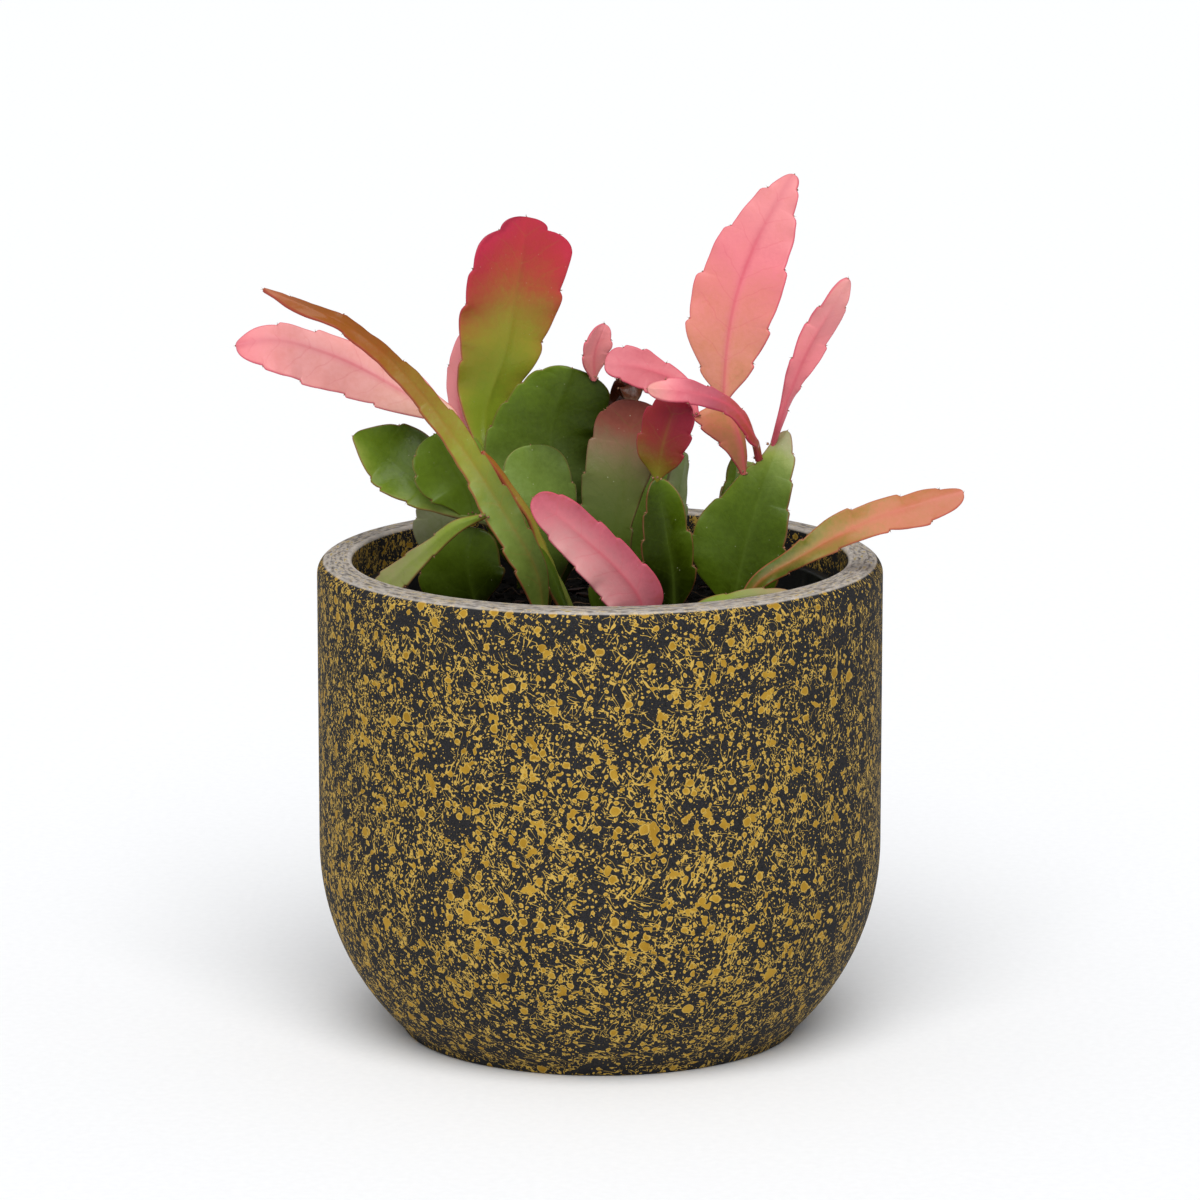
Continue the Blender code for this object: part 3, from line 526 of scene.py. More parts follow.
def make_soil():
    top = [SOIL_EDGE_RADIUS * step / SOIL_RINGS for step in range(SOIL_RINGS + 1)]
    profile = [(r, SOIL_EDGE_Z) for r in top]
    profile += [(SOIL_BASE_RADIUS, SOIL_BASE_Z), (0.0, SOIL_BASE_Z)]
    model = turned_body(profile, ROUND_STEPS)
    for vert in model.verts:
        if vert.co.z > (SOIL_EDGE_Z - 1) * MM:
            vert.co.z = soil_height(vert.co.x / MM, vert.co.y / MM) * MM
    draw = random.Random(5)
    for number in range(CRUMB_COUNT + CHIP_COUNT + FIBRE_COUNT):
        radius = (SOIL_EDGE_RADIUS - 3.0) * math.sqrt(draw.random())
        angle = draw.uniform(0, math.tau)
        x, y = radius * math.cos(angle), radius * math.sin(angle)
        if min(math.hypot(x - rx, y - ry) for rx, ry in ROOTS) < HOLLOW_RADIUS + 1.0:
            continue
        place = Vector((x, y, soil_height(x, y)))
        if number < CRUMB_COUNT:
            add_crumb(model, place, draw.uniform(*CRUMB_SIZES) ** 1.3, CRUMB_SHAPE, draw, 0)
        elif number < CRUMB_COUNT + CHIP_COUNT:
            size = draw.uniform(*CHIP_SIZES)
            add_crumb(model, place + Vector((0, 0, CHIP_LIFT)), size, CHIP_SHAPE, draw, 1)
        else:
            add_fibre(model, x * 0.85, y * 0.85, draw, 2)
    # The bark and fibre colours are darkened as painted shade too.
    return make_piece("potting_soil_bed", model, make_peat(),
                      make_fibrous("pine_bark_painted_shade", "160A06", "3C1C10", 0.9),
                      make_fibrous("root_fibre_painted_shade", "2A1D12", "4E3A28", 1.5))


soil = make_soil()
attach(soil, "root")
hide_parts("potting_soil")


# Mature stem segments. A rhipsalis has no leaves: its stem is a chain of flat fleshy cladodes,
# stiff and glossy, with a rib down the middle and a notch with a woolly bristly areole between
# the teeth of each margin. The old ones are dark green and stand in the soil.

# Columns across a blade: two close inside each margin, in mm, and then shares of what is left.
MARGIN_INSETS = (0.10, 0.30)
LARGEST_INSET = 0.4
RIB_SHARES = (0.93, 0.82, 0.68, 0.52, 0.36, 0.22, 0.11, 0.045)
MARGIN_THICKNESS = 0.75
EDGE_WIDTH = 0.15
EDGE_THINNING = 0.7
BLADE_THICKNESS = 1.45
RIB_HEIGHT = 0.42
RIB_WIDTH = 0.75
STRIPE_WIDTH = 0.9
# A blade waves a little all over, and its margins wave more closely.
WAVE_HEIGHT = 1.2
WAVE_LENGTH = 9.0
WAVE_WIDTH = 11.0
MARGIN_WAVE_HEIGHT = 0.6
MARGIN_WAVE_LENGTH = 4.0
MARGIN_WAVES_APART = 4.0
ROW_STEP = 0.6
LEAST_ROW_STEP = 0.08
LEAST_TIP_STEP = 0.01
TIP_ROWS = 14
# A tip and an apex lobe round off as (1 - share ** first) ** second.
TIP_CURVE = (2.4, 0.4)
LOBE_CURVE = (2.2, 0.45)
TIP_THINNING_FROM = 0.9
TIP_THINNING = 3.0
# From its foot up a segment turns the way of its rib, gets its teeth and starts to wave. Each is
# complete at one part in this many of its length.
FOOT_TURN = 10
FOOT_TEETH = 5
FOOT_WAVES = 4
FOOT_ROWS = 5
FOOT_GAP = 1.2
FOOT_THINNING = 0.95
STEM_HALF_WIDTH = 1.2
NARROW_HALF_WIDTH = 5.0
LEAST_HALF_WIDTH = 0.12
SEAT_SINK = 0.5
AREOLE_RADIUS = 0.2
BRISTLE_RADIUS = 0.045
JOINT_TUFTS = ((-0.9, -0.7, 0.2), (0.1, -0.9, 0.5), (0.9, -0.7, 0.0))
JOINT_TUFT_SIZE = 1.6
# What the skin's material reads at each point of a segment.
SKIN_VALUES = ("stage", "bloom_and_shading", "share", "along", "across", "margin")


def turned_by(degrees, lift=0.15):
    """A facing turned from the viewer towards +X by an angle, and tipped up by a share."""
    angle = math.radians(degrees)
    return (math.sin(angle), -math.cos(angle), lift)


def curve_point(points, share):
    """A smooth curve through the given points, by arc share, with its direction."""
    lengths = [(b - a).length for a, b in zip(points, points[1:])]
    target = share * sum(lengths)
    index = 0
    while index < len(lengths) - 1 and target > lengths[index]:
        target -= lengths[index]
        index += 1
    local = target / lengths[index]
    p1 = points[index]
    p2 = points[index + 1]
    p0 = points[index - 1] if index > 0 else p1 * 2 - p2
    p3 = points[index + 2] if index + 2 < len(points) else p2 * 2 - p1
    before = lengths[index - 1] if index > 0 else lengths[index]
    after = lengths[index + 1] if index + 1 < len(lengths) else lengths[index]
    here = lengths[index]
    m1 = ((p2 - p1) / here + ((p1 - p0) / before - (p2 - p0) / (before + here))) * here
    m2 = ((p2 - p1) / here + ((p3 - p2) / after - (p3 - p1) / (after + here))) * here
    t2 = local * local
    t3 = t2 * local
    place = (p1 * (2 * t3 - 3 * t2 + 1) + m1 * (t3 - 2 * t2 + local)
             + p2 * (3 * t2 - 2 * t3) + m2 * (t3 - t2))
    way = (p1 * (6 * t2 - 6 * local) + m1 * (3 * t2 - 4 * local + 1)
           + p2 * (6 * local - 6 * t2) + m2 * (3 * t2 - 2 * local))
    return place, way.normalized()


def smooth_value(values, share):
    """A smooth reading between evenly spaced values."""
    if len(values) == 1:
        return values[0]
    place = share * (len(values) - 1)
    index = min(int(place), len(values) - 2)
    local = place - index
    v1 = values[index]
    v2 = values[index + 1]
    v0 = values[index - 1] if index > 0 else v1
    v3 = values[index + 2] if index + 2 < len(values) else v2
    m1 = (v2 - v0) / 2
    m2 = (v3 - v1) / 2
    t2 = local * local
    t3 = t2 * local
    return (v1 * (2 * t3 - 3 * t2 + 1) + m1 * (t3 - 2 * t2 + local)
            + v2 * (3 * t2 - 2 * t3) + m2 * (t3 - t2))


def margin_inset(along, length, notches, bite, rounding, crown):
    """How far a toothed margin stands in from its outline at a place along it.

    Each lobe starts in at the notch below it, swells out, and ends in a tooth at the next notch.
    The notch nearest the apex is cut in by crown times the bite.
    """
    places = [0.0] + [share * length for share in notches] + [length]
    index = max(number for number, place in enumerate(places[:-1]) if place <= along)
    low, high = places[index], places[index + 1]
    swell = min(1.0, (along - low) / (high - low))
    below = bite * (crown if index + 2 == len(places) else 1.0)
    inset = below * (1.0 - swell) ** 1.7 if index > 0 else 0.0
    if index + 2 < len(places):
        above = bite * (crown if index + 3 == len(places) else 1.0)
        inset += 1.15 * above * max(0.0, 1.0 - (high - along) / rounding) ** 2
    return inset


def lobed_end(half, share, length, start, lobe, shoulder):
    """The half width near an apex lobe that starts at a share, above a shoulder of a height."""
    if share > start:
        over = (share - start) / (1.0 - start)
        return lobe * (1.0 - over ** LOBE_CURVE[0]) ** LOBE_CURVE[1]
    below = min(1.0, (start - share) * length / shoulder)
    return lobe + (half - lobe) * math.sqrt(1.0 - (1.0 - below) ** 2)


def row_places(length, notches, blunt, rounding):
    """Places of the cross rows along a blade: even, with more at each notch and at the tip."""
    body = length * (1.0 - blunt)
    count = max(8, round(body / ROW_STEP))
    places = [body * step / count for step in range(count + 1)]
    for share in notches[0] + notches[1]:
        for offset in (-rounding, -0.6 * rounding, -0.3 * rounding, -0.1, 0.0, 0.3, 0.7):
            places.append(min(max(0.0, share * length + offset), length))
    for step in range(1, TIP_ROWS + 1):
        places.append(length * (1.0 - blunt + blunt * math.sin(step * math.pi / 2 / TIP_ROWS)))
    places.sort()
    kept = [places[0]]
    for place in places[1:-1]:
        if place - kept[-1] > LEAST_ROW_STEP and length - place > LEAST_TIP_STEP:
            kept.append(place)
    return kept + [length]


def across_places(half_left, half_right):
    """Places of the columns across a blade, with the distance of each from its margin."""
    places = []
    for sign, half in ((-1, half_left), (1, half_right)):
        insets = [min(inset, half * LARGEST_INSET) for inset in MARGIN_INSETS]
        inner = half - insets[-1]
        side = [half] + [half - inset for inset in insets] + [inner * s for s in RIB_SHARES]
        places.append([(sign * across, half - across) for across in side])
    left, right = places
    return left + [(0.0, min(half_left, half_right))] + right[::-1]


def add_areole(model, place, out, draw, larger=1.0):
    """A woolly tuft in a notch, with a few stiff bristles that point out of it."""
    made = bmesh.ops.create_icosphere(model, subdivisions=1, radius=1.0)["verts"]
    size = AREOLE_RADIUS * larger * draw.uniform(0.8, 1.3)
    for vert in made:
        vert.co = (place + vert.co * size * draw.uniform(0.75, 1.25)) * MM
    faces = {face for vert in made for face in vert.link_faces}
    for _ in range(draw.randint(2, 4)):
        lean = Vector([draw.uniform(-0.7, 0.7) for _ in range(3)])
        way = (out + lean).normalized()
        side = way.orthogonal().normalized() * BRISTLE_RADIUS
        other = way.cross(side)
        ring = [model.verts.new((place + corner) * MM)
                for corner in (side, -side * 0.5 + other * 0.87, -side * 0.5 - other * 0.87)]
        tip = model.verts.new((place + way * larger * draw.uniform(0.4, 0.9)) * MM)
        faces.add(model.faces.new(ring))
        for corner in range(3):
            faces.add(model.faces.new((ring[corner], ring[(corner + 1) % 3], tip)))
    for face in faces:
        face.material_index = 1


@dataclass
class Segment:
    """How one stem segment is shaped and coloured, in mm and in shares from foot to tip."""
    points: list               # its rib runs through these; a rooted one starts at (x, y)
    left: tuple                # half widths from foot to tip, on the left of its rib
    look: tuple                # where its face looks, at the foot and at the tip
    stages: tuple              # its age colours from foot to tip
    right: tuple = None        # half widths on the right, where they differ
    seat: tuple = None         # place and way out on its parent's margin, unless it is rooted
    notches: tuple = ((), ())  # where its left and its right margin are notched
    bite: float = 0.8          # depth of the notches
    rounding: float = 0.7      # length of margin that turns in above a notch
    crown: float = 1.0         # depth of the notch nearest the apex, in bites
    cup: float = 0.10          # how far both margins stand forwards
    fold: float = 0.0          # how sharply it is folded forwards along its rib
    blunt: float = 0.14        # share of it that the tip rounds off
    apex: tuple = None         # left and right start, half width and shoulder of an end lobe
    tilt: float = 0.0          # age added on the right margin and taken off on the left
    flush: float = 0.0         # age added on both margins
    stripe: float = 0.0        # age added along the rib
    bloom_and_shading: tuple = (0.0,)      # pale bloom and painted light from foot to tip; painted shade below 0
    bloom_and_shading_side: float = 0.0    # how much stronger its bloom and painted light and shade are on the right margin
    ruffle: float = 1.0        # how much it waves

    def half_width(self, number, along, length):
        """Half its width on the left (0) or the right (1) side, at a place along it."""
        share = along / length
        half = smooth_value((self.left, self.right or self.left)[number], share)
        inset = margin_inset(along, length, self.notches[number], self.bite, self.rounding,
                             self.crown)
        half -= inset * min(1.0, share * FOOT_TEETH) * min(1.0, half / NARROW_HALF_WIDTH)
        if self.apex:
            half = lobed_end(half, share, length, *self.apex[number])
        elif share > 1.0 - self.blunt:
            over = (share - 1.0 + self.blunt) / self.blunt
            half *= (1.0 - over ** TIP_CURVE[0]) ** TIP_CURVE[1]
        return max(LEAST_HALF_WIDTH, half)

    def rise(self, along, across, out, seed):
        """How far forwards a place on it lies, at a share out from the rib to the margin."""
        wave = WAVE_HEIGHT * out * noise.noise(
            Vector((along / WAVE_LENGTH, across / WAVE_WIDTH, seed)))
        wave += MARGIN_WAVE_HEIGHT * out ** 3 * noise.noise(
            Vector((along / MARGIN_WAVE_LENGTH, math.copysign(MARGIN_WAVES_APART, across), seed)))
        return self.cup * across * across / 10 + self.fold * abs(across) + self.ruffle * wave

    def age(self, share, across, half):
        """Its place on the age colours."""
        return (smooth_value(self.stages, share) + self.tilt * across / half
                + self.flush * min(1.0, abs(across) / half) ** 2
                + self.stripe * math.exp(-(across / STRIPE_WIDTH) ** 2))


def blade_thickness(across, out, from_margin):
    """Thickness of a blade: raised at the rib, thin at the margin and nothing at its edge."""
    thick = MARGIN_THICKNESS + (BLADE_THICKNESS - MARGIN_THICKNESS) * (1 - out ** 1.5)
    thick += RIB_HEIGHT * math.exp(-(across / RIB_WIDTH) ** 2)
    if from_margin < EDGE_WIDTH:
        thick *= EDGE_THINNING if from_margin > 0.0 else 0.0
    return thick


def grow(name, skin, segment):
    """Make one stem segment and put it in the place of its CAD node."""
    draw = random.Random(name)
    seed = draw.uniform(0.0, 50.0)
    if segment.seat:
        edge, way_out = Vector(segment.seat[0]), Vector(segment.seat[1])
        lean = (way_out + (Vector(segment.points[0]) - edge).normalized()).normalized()
        spine = [edge - lean * SEAT_SINK] + [Vector(point) for point in segment.points]
    else:
        spine = [Vector((*segment.points[0], STEM_TOP_Z))]
        spine += [Vector(point) for point in segment.points[1:]]
    first_look, last_look = Vector(segment.look[0]), Vector(segment.look[-1])
    length = sum((b - a).length for a, b in zip(spine, spine[1:]))
    model = bmesh.new()
    layers = {key: model.verts.layers.float.new(key) for key in SKIN_VALUES}
    margins = ([], [])

    def add_row(middle, way, facing, halves, along, depth, lift):
        side = way.cross(facing).normalized()
        normal = side.cross(way).normalized()
        share = max(0.0, along / length)
        columns = across_places(*halves)
        front, back = [], []
        for number, (across, from_margin) in enumerate(columns):
            half = halves[0] if across < 0 else halves[1]
            out = min(1.0, abs(across) / half)
            rise = lift * segment.rise(along, across, out, seed)
            sheet = middle + side * across + normal * rise
            thick = depth * blade_thickness(across, out, from_margin)
            bloom_and_shading = smooth_value(segment.bloom_and_shading, share) * (1 + segment.bloom_and_shading_side * across / half)
            values = (segment.age(share, across, half), bloom_and_shading, share, along, across, from_margin)
            on_margin = number in (0, len(columns) - 1)
            for face, verts in ((1, front),) if on_margin else ((1, front), (-1, back)):
                vert = model.verts.new((sheet + normal * thick / 2 * face) * MM)
                for key, value in zip(SKIN_VALUES, values):
                    vert[layers[key]] = value
                verts.append(vert)
            if on_margin:
                right = number > 0
                margins[right].append((along, sheet, side if right else -side))
        return front + back[::-1]

    rows = []
    if not segment.seat:
        foot = (STEM_HALF_WIDTH, STEM_HALF_WIDTH)
        foot_length = STEM_TOP_Z - FOOT_GAP - STEM_FOOT_Z
        for step in range(FOOT_ROWS):
            z = STEM_FOOT_Z + foot_length * step / (FOOT_ROWS - 1)
            rows.append(add_row(Vector((*spine[0].xy, z)), Vector((0, 0, 1)), first_look, foot,
                                z - STEM_TOP_Z, FOOT_THINNING, 0.0))
    for along in row_places(length, segment.notches, segment.blunt, segment.rounding)[:-1]:
        share = along / length
        middle, way = curve_point(spine, share)
        if not segment.seat:
            way = Vector((0, 0, 1)).lerp(way, min(1.0, share * FOOT_TURN)).normalized()
        halves = [segment.half_width(number, along, length) for number in (0, 1)]
        depth = 1.0 - TIP_THINNING * max(0.0, share - TIP_THINNING_FROM)
        rows.append(add_row(middle, way, first_look.lerp(last_look, share), halves, along, depth,
                            min(1.0, share * FOOT_WAVES)))
    for low, high in zip(rows, rows[1:]):
        for column in range(len(low)):
            after = (column + 1) % len(low)
            model.faces.new((low[column], low[after], high[after], high[column]))
    tip = model.verts.new(spine[-1] * MM)
    for key, value in (("stage", segment.stages[-1]), ("share", 1.0), ("along", length)):
        tip[layers[key]] = value
    last = rows[-1]
    for column in range(len(last)):
        model.faces.new((last[column], last[(column + 1) % len(last)], tip))
    model.faces.new(rows[0][::-1])
    for margin, side_notches in zip(margins, segment.notches):
        for share in side_notches:
            _, place, out = min(margin, key=lambda spot: abs(spot[0] - share * length))
            add_areole(model, place + out * 0.1, out, draw)
    add_areole(model, spine[-1], (spine[-1] - spine[-2]).normalized(), draw)
    if segment.seat:
        for offset in JOINT_TUFTS:
            add_areole(model, edge + Vector(offset), lean, draw, JOINT_TUFT_SIZE)
    piece = make_piece(name + "_segment", model, skin, areole_wool)
    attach(piece, "root")
    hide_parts("stem_" + name)


VEIN_SPACING = 6.5
VEIN_LEAN = 0.75
VEIN_WANDER = 0.7
VEIN_WIDTH = 0.055
VEIN_FADE = (0.5, 3.0)
VEIN_DIP = -0.15
RIB_LINE = (0.55, 0.1, 0.6)
RIB_HALO = (1.7, 0.2, 0.4)
RIB_FADE = (1.0, 0.5)
MARGIN_LINE = (0.5, 0.05)
MOTTLE_SIZE = 7.0
MOTTLE_AGE = 0.15
GRAIN_SIZE = 1.1
GRAIN_AGE = 0.13
SPECK_SPACING = 1.7
SPECK_RADIUS = (0.10, 0.04)
SPECK_PICK = (0.45, 0.95)
SPECK_COLOUR = "C9C6A8"
# How patchy the pale bloom and painted light are.
BLOOM_AND_SHADING_MOTTLE = 0.8
BLOOM_AND_SHADING_GRAIN = 0.6
BLOOM_AND_SHADING_LEAST = 0.3
SKIN_RELIEF = 0.06


def make_skin(name, ages, pale, rib, rib_share, rim, rim_share, vein_share, specks, shine):
    """The waxy skin of a stem segment, coloured by age from foot to tip.

    It is smooth and half glossy, duller where the wax lies thicker. The rib, the side veins and
    the margin are tinted by the given shares, and fine pale specks are strewn over it. Above 0
    its bloom value paints pale patches, partly waxy bloom and partly painted sheen and light;
    below 0 it darkens the colour as painted shade.
    """
    material, add, shader, place = new_material(name)
    stage, bloom_and_shading, share, along, across, margin = [
        add("Attribute", attribute_name=key).outputs["Fac"] for key in SKIN_VALUES]
    mottle = add("TexNoise", {"Vector": place, "Scale": 1 / MOTTLE_SIZE, "Detail": 3.0})
    grain = add("TexNoise", {"Vector": place, "Scale": 1 / GRAIN_SIZE, "Detail": 4.0})
    mottled = add("Math", (mottle, 0.5), operation="SUBTRACT")
    grainy = add("Math", (grain, 0.5), operation="SUBTRACT")
    age = add("Math", (mottled, MOTTLE_AGE, stage), operation="MULTIPLY_ADD")
    age = add("Math", (grainy, GRAIN_AGE, age), operation="MULTIPLY_ADD")

    # Above 0 the bloom value paints pale patches, partly waxy bloom and partly painted sheen and
    # light; below 0 it darkens the colour as painted shade.
    patchy = add("Math", (grain, BLOOM_AND_SHADING_GRAIN, BLOOM_AND_SHADING_LEAST), operation="MULTIPLY_ADD")
    patchy = add("Math", (mottle, BLOOM_AND_SHADING_MOTTLE, patchy), operation="MULTIPLY_ADD")
    patchy = add("Math", (bloom_and_shading, patchy), operation="MULTIPLY")
    pale_bloom_and_light = add("Math", (patchy, 0.0), operation="MAXIMUM")
    painted_shade = add("Math", (bloom_and_shading, -1.0), operation="MULTIPLY")
    painted_shade = add("Math", (painted_shade, 0.0), operation="MAXIMUM")

    from_rib = add("Math", (across,), operation="ABSOLUTE")
    phase = add("Math", (from_rib, -VEIN_LEAN, along), operation="MULTIPLY_ADD")
    phase = add("Math", (phase, VEIN_SPACING), operation="DIVIDE")
    phase = add("Math", (mottled, VEIN_WANDER, phase), operation="MULTIPLY_ADD")
    off_vein = add("Math", (phase,), operation="FRACT")
    off_vein = add("Math", (off_vein, 0.5), operation="SUBTRACT")
    off_vein = add("Math", (off_vein,), operation="ABSOLUTE")
    vein = add("MapRange", (off_vein, VEIN_WIDTH, 0.0), **SMOOTH)
    inwards = add("MapRange", (margin, *VEIN_FADE), **SMOOTH)
    vein = add("Math", (vein, inwards), operation="MULTIPLY")
    halo = add("MapRange", (from_rib, *RIB_HALO[:2]), **SMOOTH)
    halo = add("Math", (halo, RIB_HALO[2]), operation="MULTIPLY")
    on_rib = add("MapRange", (from_rib, *RIB_LINE[:2]), **SMOOTH)
    on_rib = add("Math", (on_rib, RIB_LINE[2], halo), operation="MULTIPLY_ADD")
    below_tip = add("MapRange", (share, *RIB_FADE), **SMOOTH)
    on_rib = add("Math", (on_rib, below_tip), operation="MULTIPLY")
    on_margin = add("MapRange", (margin, *MARGIN_LINE), **SMOOTH)

    dots = add("TexVoronoi", {"Vector": place, "Scale": 1 / SPECK_SPACING})
    pick = add("SeparateColor", (dots.outputs["Color"],)).outputs[1]
    pick = add("MapRange", (pick, *SPECK_PICK), **SMOOTH)
    dot = add("MapRange", (dots.outputs["Distance"], *SPECK_RADIUS), **SMOOTH)
    dot = add("Math", (dot, pick), operation="MULTIPLY")

    colour = add("ValToRGB", (age,), ages)
    layers = [(pale_bloom_and_light, pale), (painted_shade, "000000")]
    for where, strength, over in ((vein, vein_share, rib), (on_rib, rib_share, rib),
                                  (on_margin, rim_share, rim), (dot, specks, SPECK_COLOUR)):
        layers.append((add("Math", (where, strength), operation="MULTIPLY"), over))
    for share, over in layers:
        colour = add("Mix", {0: share, 6: colour, 7: paint(over)}, data_type="RGBA").outputs[2]
    height = add("Math", (mottle, 2.0, grain), operation="MULTIPLY_ADD")
    height = add("Math", (vein, VEIN_DIP, height), operation="MULTIPLY_ADD")
    set_inputs(shader, {
        "Base Color": colour,
        "Roughness": add("Math", (mottle, 0.4, 0.12), operation="MULTIPLY_ADD"),
        "Normal": add("Bump", {"Height": height, "Distance": SKIN_RELIEF * MM}),
        "Specular IOR Level": shine})
    return material


areole_wool = make_fibrous("areole_wool", "6E3A28", "B08A6A", 0.5)
green_skin = make_skin(
    "mature_green_skin",
    ((0.0, "1A2002"), (0.15, "2E3C05"), (0.32, "475A11"), (0.48, "60781C"), (0.62, "748E3A"),
     (0.78, "869058"), (1.0, "8A7A60")),
    pale="B4BE96",
    rib="52661C", rib_share=0.25, rim="7A4A34", rim_share=0.4, vein_share=0.10, specks=0.4,
    shine=0.16)

MATURE_SEGMENTS = {
    # round_middle: its tilt and bloom paint the left side paler, a painted sheen on the side
    # towards the light.
    "round_middle": Segment(
        points=[(-12.5, 2.0), (-13.5, 2.0, 112.0), (-14.5, 2.0, 124.0), (-16.0, 4.0, 136.5)],
        left=(1.2, 6.2, 8.8, 9.3, 6.6), right=(1.2, 6.2, 8.8, 9.3, 7.2), look=(turned_by(15),),
        stages=(-0.1, 0.3, 0.5, 0.38), notches=((0.35, 0.62, 0.86), (0.45, 0.74)), cup=0.12,
        tilt=-0.16, bloom_and_shading=(0.0, 0.03, 0.08, 0.05), bloom_and_shading_side=-0.4),
    # large_green: its tilt, bloom and bloom_and_shading_side paint the left half lighter as
    # painted light and the right half darker as painted shade.
    "large_green": Segment(
        points=[(-10.0, 14.0), (-10.0, 14.0, 108.0), (-11.0, 14.0, 124.0), (-11.5, 15.0, 138.0),
                (-6.5, 14.0, 152.8)],
        left=(1.2, 5.0, 9.0, 14.0, 15.7, 11.4, 7.0), right=(1.2, 5.0, 7.6, 9.6, 11.0, 12.6, 12.0),
        look=(turned_by(10),), stages=(0.15, 0.3, 0.31, 0.27, 0.31),
        notches=((0.30, 0.52, 0.71, 0.79, 0.87, 0.95), (0.42, 0.66, 0.85, 0.94)),
        cup=0.09, blunt=0.11, tilt=-0.2, bloom_and_shading=(0.0, 0.08, 0.08, 0.0, 0.0), bloom_and_shading_side=-0.9),
    "left_base": Segment(
        points=[(-28.0, -3.0), (-30.0, -3.0, 108.0), (-28.5, -3.0, 118.5)],
        left=(1.2, 10.8, 12.4, 9.2, 5.0), right=(1.2, 7.2, 8.8, 7.2, 4.5), look=(turned_by(-18),),
        stages=(-0.02, 0.15, 0.34, 0.4), notches=((0.45, 0.75), (0.6,)), cup=0.06, tilt=-0.04),
    "round_left": Segment(
        seat=((-29.3, -5.6, 122.2), (0.3, 0.29, 0.91)),
        points=[(-30.5, -5.5, 126.8), (-34.0, -4.5, 132.8), (-38.0, -3.0, 140.3)],
        left=(2.5, 7.0, 9.5, 8.8, 5.6), right=(2.0, 7.0, 9.0, 8.2, 5.6), look=(turned_by(16),),
        stages=(0.5, 0.45, 0.48), notches=((0.4, 0.68, 0.88), (0.5, 0.78)), cup=0.12, tilt=0.05),
    # back_sliver: its bloom paints it paler, as painted light on a shaded segment.
    "back_sliver": Segment(
        points=[(16.0, 9.0), (16.5, 9.0, 112.0), (17.5, 9.0, 123.0), (19.5, 8.5, 134.0)],
        left=(1.2, 3.6, 4.2, 2.4), right=(1.2, 3.6, 3.2, 2.0), look=(turned_by(35),),
        stages=(0.55, 0.62, 0.68), notches=((0.5, 0.8), (0.64, 0.94)), flush=0.15,
        bloom_and_shading=(0.2, 0.3)),
    "right_back": Segment(
        points=[(29.0, 14.0), (30.0, 14.0, 112.0), (30.5, 14.0, 123.0), (31.5, 13.0, 133.0)],
        left=(1.2, 3.4, 3.2, 1.0), right=(1.2, 4.6, 5.2, 2.9), look=(turned_by(28),),
        stages=(0.3, 0.5, 0.55), notches=((0.5, 0.8), (0.4, 0.7))),
    "olive_low": Segment(
        points=[(0.5, -20.5), (0.5, -20.5, 108.0), (3.0, -19.5, 115.5)],
        left=(1.2, 3.0, 3.3, 1.8), look=(turned_by(-38),),
        stages=(0.3, 0.5), notches=((0.5,), (0.7,))),
    "back_left_low": Segment(
        points=[(-18.5, 32.0), (-19.5, 33.0, 110.0), (-22.0, 34.0, 122.0), (-27.0, 36.0, 134.0)],
        left=(1.2, 6.2, 8.3, 7.8, 4.7), look=(turned_by(-16),),
        stages=(0.25, 0.45, 0.6), notches=((0.4, 0.65, 0.87), (0.5, 0.76)), cup=-0.10),
    "back_right_low": Segment(
        points=[(12.0, 30.0), (12.0, 31.0, 110.0), (10.0, 32.5, 122.0), (7.0, 35.0, 138.0)],
        left=(1.2, 6.6, 9.4, 10.0, 5.5), look=(turned_by(24),),
        stages=(0.55, 0.6, 0.6), notches=((0.35, 0.6, 0.83), (0.45, 0.7, 0.92)), cup=-0.10),
}
for name, segment in MATURE_SEGMENTS.items():
    grow(name, green_skin, segment)


# Dusky segment. An old green one in the middle, flushed with pinkish brown at the top and dulled
# by a greyish waxy bloom.

dusky_skin = make_skin(
    "dusky_green_skin",
    ((0.0, "3C4814"), (0.25, "4F5E20"), (0.42, "5A6228"), (0.58, "6A6038"), (0.72, "7A5A40"),
     (0.86, "824436"), (1.0, "6E3228")),
    pale="ACA890",
    rib="50601E", rib_share=0.2, rim="6E3A30", rim_share=0.5, vein_share=0.15, specks=0.7,
    shine=0.2)
grow("dusky_middle", dusky_skin, Segment(
    points=[(5.5, 0.5), (3.5, 1.0, 110.0), (5.0, 1.0, 124.0), (8.5, 4.0, 147.0)],
    left=(1.2, 6.8, 9.4, 9.9, 9.9, 9.4, 7.3), right=(1.2, 4.2, 4.2, 4.7, 6.3, 8.3, 7.3),
    look=(turned_by(-17),), stages=(0.1, 0.15, 0.25, 0.42, 0.76, 1.0),
    notches=((0.3, 0.46, 0.62, 0.79, 0.93), (0.4, 0.7, 0.9)), tilt=0.04,
    bloom_and_shading=(0.0, 0.0, 0.02, 0.04, 0.04, -0.1), bloom_and_shading_side=-0.7))


# Younger green segments. This and last year's growth: the same flat stem, fresher green, paler
# where it is thin or new, and often edged with red where the light has caught it.

leaf_green_skin = make_skin(
    "young_green_skin",
    ((0.0, "182000"), (0.15, "303E03"), (0.30, "495E0F"), (0.45, "61781C"), (0.58, "7E8E34"),
     (0.72, "8C8E58"), (0.86, "9C8A62"), (1.0, "AA705E")),
    pale="B8BA98",
    rib="566A20", rib_share=0.3, rim="8A4A38", rim_share=0.6, vein_share=0.08, specks=0.35,
    shine=0.16)

